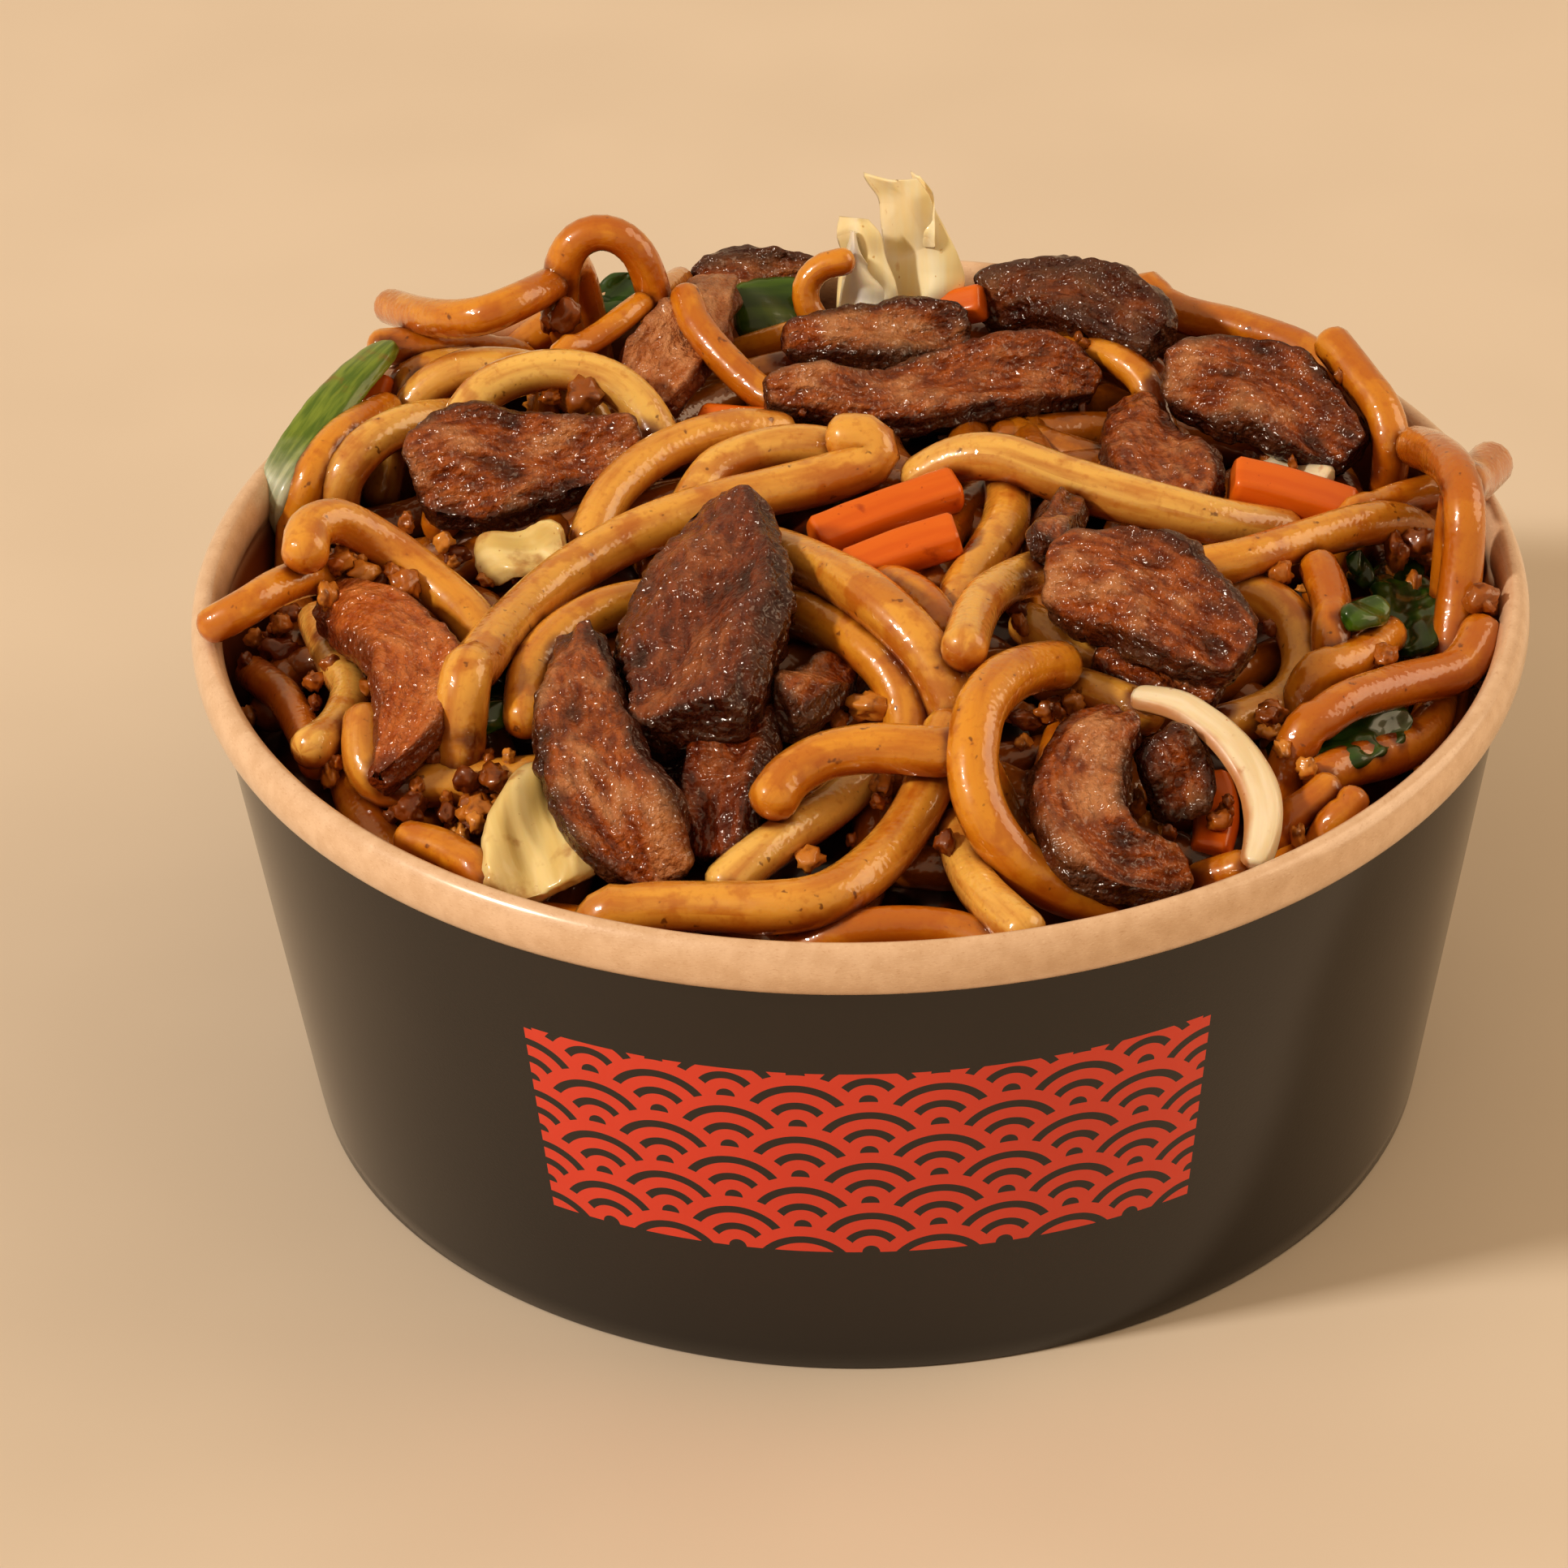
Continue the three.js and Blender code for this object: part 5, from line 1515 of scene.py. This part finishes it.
def slice_mesh(item, places, seed):
    """A slice's mesh: a divided block, bent along its middle line, with its relief."""
    kind = KINDS[item["kind"]]
    cell = kind["cell"]
    path = slice_path(item, places)
    length = SLICE_STEP * (len(path) - 1)
    bm = divided_block((
        max(4, math.ceil(length / cell)),
        max(4, math.ceil(places[:, 3].max() / cell)),
        max(3, math.ceil(item["thick"] / cell / 2)),
    ))
    mesh = bpy.data.meshes.new(item["name"])
    bm.to_mesh(mesh)
    bm.free()
    long, side, high = (coordinates(mesh) * MM).T.astype(float)
    share = (long + 1) / 2
    row = share * (len(path) - 1)
    middle = between_rows(path, row)
    across, out = slice_ways(item, path, row)
    run = share * length
    to_end = np.minimum(run, length - run)
    draw_in = np.clip(1 - to_end / kind["tip"], 0, 1)
    narrow = kind["blunt"] + (1 - kind["blunt"]) * np.sqrt(1 - draw_in**2)
    wander = edge_wander(kind["ragged"], run, side, seed)
    half = middle[:, 3] * kind.get("width", 1) / 2 * narrow * wander
    flat = (1 - np.minimum(np.abs(side), 1) ** kind["corner"]) ** (1 / kind["corner"])
    thick = item["thick"] / 2 * (0.5 + 0.5 * narrow) * (kind["side"] + (1 - kind["side"]) * flat)
    bulge = item["thick"] * 0.12 * (1 - high**2) * (np.abs(side) > 0.999)
    sideways = -side * half - np.sign(side) * bulge
    wave = kind["wave"] * np.sin(share * WAVE_ALONG + side * half * WAVE_ACROSS)
    at = middle[:, :3] + across * sideways[:, None] + out * (high * thick + wave)[:, None]
    place_vertices(mesh, at)
    grain = np.column_stack([run, sideways, high * thick])
    relief = relief_of(item["kind"], at, grain, seed)
    place_vertices(mesh, inside_wall(at + facings(mesh) * relief[:, None]))
    rim = np.maximum(np.abs(side), 1 - np.minimum(to_end, 3) / 3)
    mark(mesh, "rim", np.clip(rim, 0, 1) ** 3)
    mark(mesh, "relief", relief)
    mark(mesh, "along", share)
    mark(mesh, "side", -side)
    give_uv(mesh, grain[:, :2])
    return mesh


# %% [markdown]
# ## The look of the beef
# Thin slices, browned hard in a pan and turned in sauce. The cut face is grey-brown with paler
# grain and paler crests, the edges are nearly black, the hollows of the relief are darkened as
# painted shade, and the sauce gives it many small sparks of light. The sparks come from a bump in
# the clear coat, about a millimetre across.

# %% The beef material
SPARK = 0.9
GLAZE_DROP = 1.3
FIBRE = 1.1
BEEF_CLOUD = 5


def beef_material(name, pale, raw, brown, char, shine):
    """Seared meat in glaze, with colours from its crests to the burnt edge."""
    material, tree = new_material(name)
    run = add(tree, "UVMap")
    place = add(tree, "TexCoord").outputs["Object"]
    rim = add(tree, "Attribute", attribute_name="rim").outputs["Fac"]
    relief = add(tree, "Attribute", attribute_name="relief").outputs["Fac"]
    dark = add(tree, "Attribute", attribute_name="dark").outputs["Fac"]
    fibre_run = add(tree, "Mapping", {"Vector": run, "Scale": (0.4, 1, 1)})
    fibre = add(tree, "TexNoise", {"Vector": fibre_run, "Scale": size_mm(FIBRE), "Detail": 5.0})
    drop = add(tree, "TexNoise", {"Vector": place, "Scale": size_mm(GLAZE_DROP), "Detail": 1.0})
    cloud = add(tree, "TexNoise", {"Vector": place, "Scale": size_mm(BEEF_CLOUD), "Detail": 4.0})
    fine = add(tree, "TexNoise", {"Vector": place, "Scale": size_mm(SPARK), "Detail": 3.0})
    share = add(tree, "MapRange", [fibre, 0.35, 0.65], **SMOOTHLY)
    shade = add(tree, "Mix", [share, brown, raw], **COLOURS)
    crest = add(tree, "Math", [cloud, 2.0, relief], operation="MULTIPLY_ADD")
    crest = add(tree, "MapRange", [crest, 0.9, 1.8, 0.0, 0.8], **SMOOTHLY)
    shade = add(tree, "Mix", [crest, shade, pale], **COLOURS)
    # Painted shade: the hollows of the relief are darkened towards the char colour.
    low = add(tree, "MapRange", [relief, 0.0, -0.7, 0.0, 0.85], **SMOOTHLY)
    shade = add(tree, "Mix", [low, shade, char], **COLOURS)
    burnt = add(tree, "Math", [cloud, 1.0, rim], operation="MULTIPLY_ADD")
    # Darker all over by the slice's own number: browning, and painted shade on beef_back_right.
    burnt = add(tree, "Math", [burnt, dark], operation="ADD")
    share = add(tree, "MapRange", [burnt, 0.8, 1.6, 0.0, 0.85], **SMOOTHLY)
    shade = add(tree, "Mix", [share, shade, char], **COLOURS)
    both = add(tree, "Math", [fibre, 0.6, fine], operation="MULTIPLY_ADD")
    bump = add(tree, "Bump", {"Height": both, "Strength": 1.0, "Distance": 0.0009})
    glaze = add(tree, "Bump", {"Height": drop, "Strength": 1.0, "Distance": 0.0017})
    shader = add(tree, "BsdfPrincipled", {
        "Base Color": shade, "Roughness": 0.4, "Normal": bump, "IOR": 1.4,
        "Specular IOR Level": 0.2, "Subsurface Weight": 0.05, "Subsurface Radius": (1.0, 0.3, 0.1),
        "Subsurface Scale": 0.001, "Coat Weight": shine, "Coat Roughness": 0.22,
        "Coat IOR": 1.6, "Coat Normal": glaze,
    })
    add(tree, "OutputMaterial", [shader])
    return material


# Seared outside, a cut face, a cut face under orange glaze, and meat wet all over.
seared_beef = beef_material("seared beef in glaze", "#CE9464", "#A4561C", "#743004", "#300B02", 0.9)
cut_beef = beef_material(
    "cut face of pink beef", "#DCA87C", "#C88A5C", "#AC6634", "#6A2A0A", 0.6)
glazed_beef = beef_material(
    "cut face of beef in glaze", "#D28A4E", "#C06C2C", "#A65012", "#64260A", 0.9)
wet_beef = beef_material("wet seared beef", "#A86434", "#823A0C", "#5E2002", "#2C0A00", 1.0)
print("beef material:", len(seared_beef.node_tree.nodes), "nodes")

# %% [markdown]
# ## The look of the vegetables
# Carrot, cabbage, onion, pepper, leek and leaves differ in colour and in how much light passes
# through them, but they are built alike: lengthwise veins, soft patches, a stain of sauce, some
# light under the skin, and a wet coat. One function makes them all from a few values.

# %% Vegetable materials
SOFT_PATCH = 4
BROWN_SPECK = 1.1


def vegetable_material(name, core, skin, stain, vein, glow, coat, stained, fade=None, edge=None):
    """A cut vegetable, with its colour mixed from core to skin and stained with sauce. fade gives
    two more colours and where they begin, and edge the colour of its inner edge."""
    material, tree = new_material(name)
    run = add(tree, "UVMap")
    place = add(tree, "TexCoord").outputs["Object"]
    vein_run = add(tree, "Mapping", {"Vector": run, "Scale": (0.12, 1, 1)})
    veins = add(tree, "TexNoise", {"Vector": vein_run, "Scale": size_mm(vein), "Detail": 3.0})
    cloud = add(tree, "TexNoise", {"Vector": place, "Scale": size_mm(SOFT_PATCH), "Detail": 4.0})
    share = add(tree, "MapRange", [veins, 0.35, 0.65], **SMOOTHLY)
    shade = add(tree, "Mix", [share, core, skin], **COLOURS)
    if fade:
        along = add(tree, "Attribute", attribute_name="along").outputs["Fac"]
        turned = add(tree, "Math", [cloud, 0.2, along], operation="MULTIPLY_ADD")
        share = add(tree, "MapRange", [veins, 0.35, 0.65], **SMOOTHLY)
        pale = add(tree, "Mix", [share, fade[0], fade[1]], **COLOURS)
        share = add(tree, "MapRange", [turned, fade[2], fade[3]], **SMOOTHLY)
        shade = add(tree, "Mix", [share, shade, pale], **COLOURS)
    if edge:
        side = add(tree, "Attribute", attribute_name="side").outputs["Fac"]
        inner = add(tree, "Math", [cloud, 0.5, side], operation="MULTIPLY_ADD")
        share = add(tree, "MapRange", [inner, 0.75, 1.25, 0.0, 0.8], **SMOOTHLY)
        shade = add(tree, "Mix", [share, shade, edge], **COLOURS)
    spot_from, spot_to = 0.72 - 0.25 * stained, 0.8 - 0.1 * stained
    spot = add(tree, "MapRange", [cloud, spot_from, spot_to, 0.0, 0.75], **SMOOTHLY)
    shade = add(tree, "Mix", [spot, shade, stain], **COLOURS)
    fleck = add(tree, "TexNoise", {"Vector": place, "Scale": size_mm(BROWN_SPECK), "Detail": 2.0})
    share = add(tree, "MapRange", [fleck, 0.7, 0.76, 0.0, 0.6], **SMOOTHLY)
    shade = add(tree, "Mix", [share, shade, stain], **COLOURS)
    bump = add(tree, "Bump", {"Height": veins, "Strength": 0.3, "Distance": 0.0003})
    shader = add(tree, "BsdfPrincipled", {
        "Base Color": shade, "Roughness": 0.38, "Normal": bump, "IOR": 1.4,
        "Subsurface Weight": glow, "Subsurface Radius": (1.0, 0.6, 0.3),
        "Subsurface Scale": 0.002, "Coat Weight": coat, "Coat Roughness": 0.1,
    })
    add(tree, "OutputMaterial", [shader])
    return material


VEGETABLES = {
    "carrot": vegetable_material(
        "carrot baton", "#DA680E", "#E27418", "#A84006", 2.4, 0.15, 0.6, 0.25),
    "cabbage": vegetable_material(
        "boiled white cabbage", "#F0DCA0", "#DCC27C", "#A86A20", 3.2, 0.3, 0.5, 0.8),
    "onion": vegetable_material(
        "white onion", "#F5E8CC", "#ECDAB4", "#B4631A", 1.4, 0.35, 0.7, 0.35, edge="#BC701E"),
    "pepper": vegetable_material(
        "green pepper skin", "#46680E", "#284A08", "#2A2008", 2.5, 0.0, 0.9, 0.3),
    "leek": vegetable_material(
        "leek leaf", "#809634", "#56741C", "#8A5A1E", 0.9, 0.3, 0.7, 0.4,
        fade=("#C8CDB4", "#9CA58C", 0.62, 0.82)),
    "leaf": vegetable_material(
        "wilted green leaf", "#2C500C", "#163406", "#1A1606", 1.6, 0.0, 1.0, 0.2),
}
print(len(VEGETABLES), "vegetable materials")

# %% The cut pieces
# How much darker a slice is made all over: how deeply it is browned, and for beef_back_right
# also painted shade, as its visible face lies in shadow.
BROWNED_AND_SHADED = {
    "beef_back_right": 0.8, "beef_back_left": 0.6, "beef_right_back": 0.2, "beef_slab": 0.35,
    "beef_fold_under": 0.4, "beef_fold": 0.1, "beef_bit": 0.2, "beef_tip": 0.3,
    "beef_in_ring": 0.6,
}
BEEF_FACES = {
    "beef_pink_back": cut_beef,
    "beef_crescent": glazed_beef,
    "beef_centre": wet_beef,
    "beef_front": wet_beef,
    "beef_fold_under": wet_beef,
}

SHEETS = ("cabbage_standing", "cabbage_lobe")

for number, (item, places, owner) in enumerate(laid_cuts + laid_scraps):
    if item["name"] in SHEETS:
        continue
    look = VEGETABLES.get(item["kind"]) or BEEF_FACES.get(item["name"], seared_beef)
    mesh = slice_mesh(item, places, number + 1.0)
    # Darker all over by this number: browning, and for beef_back_right painted shade too.
    mark(mesh, "dark", np.full(len(mesh.vertices), BROWNED_AND_SHADED.get(item["name"], 0.0)))
    node = item["name"] if number < len(laid_cuts) else "noodle_heap"
    piece(mesh, item["name"] + "_food", [look], [node])

# %% [markdown]
# ## The standing cabbage
# One leaf stands up at the back and is too thin and curled for a block. A grid is a better start:
# its left and right edges follow pixels of the picture, on an upright plane as far back as the
# frame has it. The middle bulges towards the eye, and a solidify step gives it its thickness.

# %% Sheets between two edges
SHEET_CELLS = (30, 56)
SHEET_THICK = 0.7
RIB_THICK = 1.4
# The part of a sheet above this height settles by this share, so that it stays in the box.
SHEET_FREE = 86.5
SHEET_SETTLE = 0.4
SHEET_CRUMPLE = 1.3


def sheet_mesh(name, rows, depth, bulge, turned, leaning, thick=SHEET_THICK):
    """A curled sheet. Each row has its left and its right pixel, from the bottom up. Its right
    edge is turned that far towards the eye, and its top leans that far away."""
    bm = bmesh.new()
    across, up = SHEET_CELLS
    bmesh.ops.create_grid(bm, x_segments=across, y_segments=up, size=1)
    left = spaced(smooth_line([row[:2] for row in rows]), 1, 2)
    right = spaced(smooth_line([row[2:] for row in rows]), 1, 2)
    for vert in bm.verts:
        side, high = (vert.co.x + 1) / 2, (vert.co.y + 1) / 2
        pixel = [
            (1 - side) * np.interp(high * (len(left) - 1), np.arange(len(left)), left[:, k])
            + side * np.interp(high * (len(right) - 1), np.arange(len(right)), right[:, k])
            for k in range(2)
        ]
        along = sight(*pixel)
        swell = bulge * math.sin(math.pi * side) + SHEET_CRUMPLE * noise.noise(
            Vector((side * 1.8, high * 3.2, depth)))
        reach = (depth - swell + turned * (0.5 - side) + leaning * high - EYE[1]) / along[1]
        vert.co = Vector((EYE + along * reach) * MM)
    bmesh.ops.solidify(bm, geom=bm.faces[:], thickness=thick * MM)
    for vert in bm.verts:
        vert.co.z -= SHEET_SETTLE * max(0, vert.co.z - SHEET_FREE * MM)
    bmesh.ops.recalc_face_normals(bm, faces=bm.faces)
    mesh = bpy.data.meshes.new(name)
    bm.to_mesh(mesh)
    bm.free()
    give_uv(mesh, coordinates(mesh)[:, [2, 0]])
    return mesh


# %% The cabbage leaf
TALL_LOBE = [
    (1098, 392, 1164, 386), (1094, 345, 1188, 350), (1090, 309, 1182, 318),
    (1085, 270, 1166, 284), (1082, 240, 1151, 255), (1070, 222, 1140, 228), (1064, 212, 1130, 207),
]
TURNED_EDGE = [
    (1120, 300, 1152, 300), (1122, 262, 1152, 266), (1128, 232, 1149, 236), (1122, 207, 1133, 205),
]
SHORT_LOBE = [
    (1030, 392, 1110, 392), (1032, 350, 1104, 350), (1037, 312, 1092, 318),
    (1031, 285, 1086, 290), (1034, 266, 1070, 270),
]
RIB = [(1031, 392, 1112, 388), (1037, 350, 1088, 350), (1042, 312, 1062, 314), (1046, 284, 1054, 285)]

# Paler than the other cabbage: the cream of a boiled leaf, brightened as painted light for the light that
# shines through this thin leaf.
brightened_cabbage_leaf = vegetable_material(
    "boiled cabbage leaf with painted light", "#FFF6D4", "#FFEAB0", "#CC8E34", 3.0, 0.2, 0.5, 0.35)
white_rib = vegetable_material(
    "boiled cabbage rib", "#FFFAEC", "#FBF0D0", "#D8A850", 3.0, 0.3, 0.5, 0.2)

# Name, rows, how far back, bulge, turn, lean and thickness, then its material and its node.
for name, rows, shape, look, node in (
    ("tall_lobe", TALL_LOBE, (65, 3.0, 6, 4), brightened_cabbage_leaf, "cabbage_standing"),
    ("turned_edge", TURNED_EDGE, (65, 0.6, 4, 4), brightened_cabbage_leaf, "cabbage_standing"),
    ("short_lobe", SHORT_LOBE, (62, 2.0, 5, 4), brightened_cabbage_leaf, "cabbage_lobe"),
    ("rib", RIB, (60.5, 2.4, 3, 4, RIB_THICK), white_rib, "cabbage_lobe"),
):
    piece(sheet_mesh(name, rows, *shape), "cabbage_" + name, [look], [node])
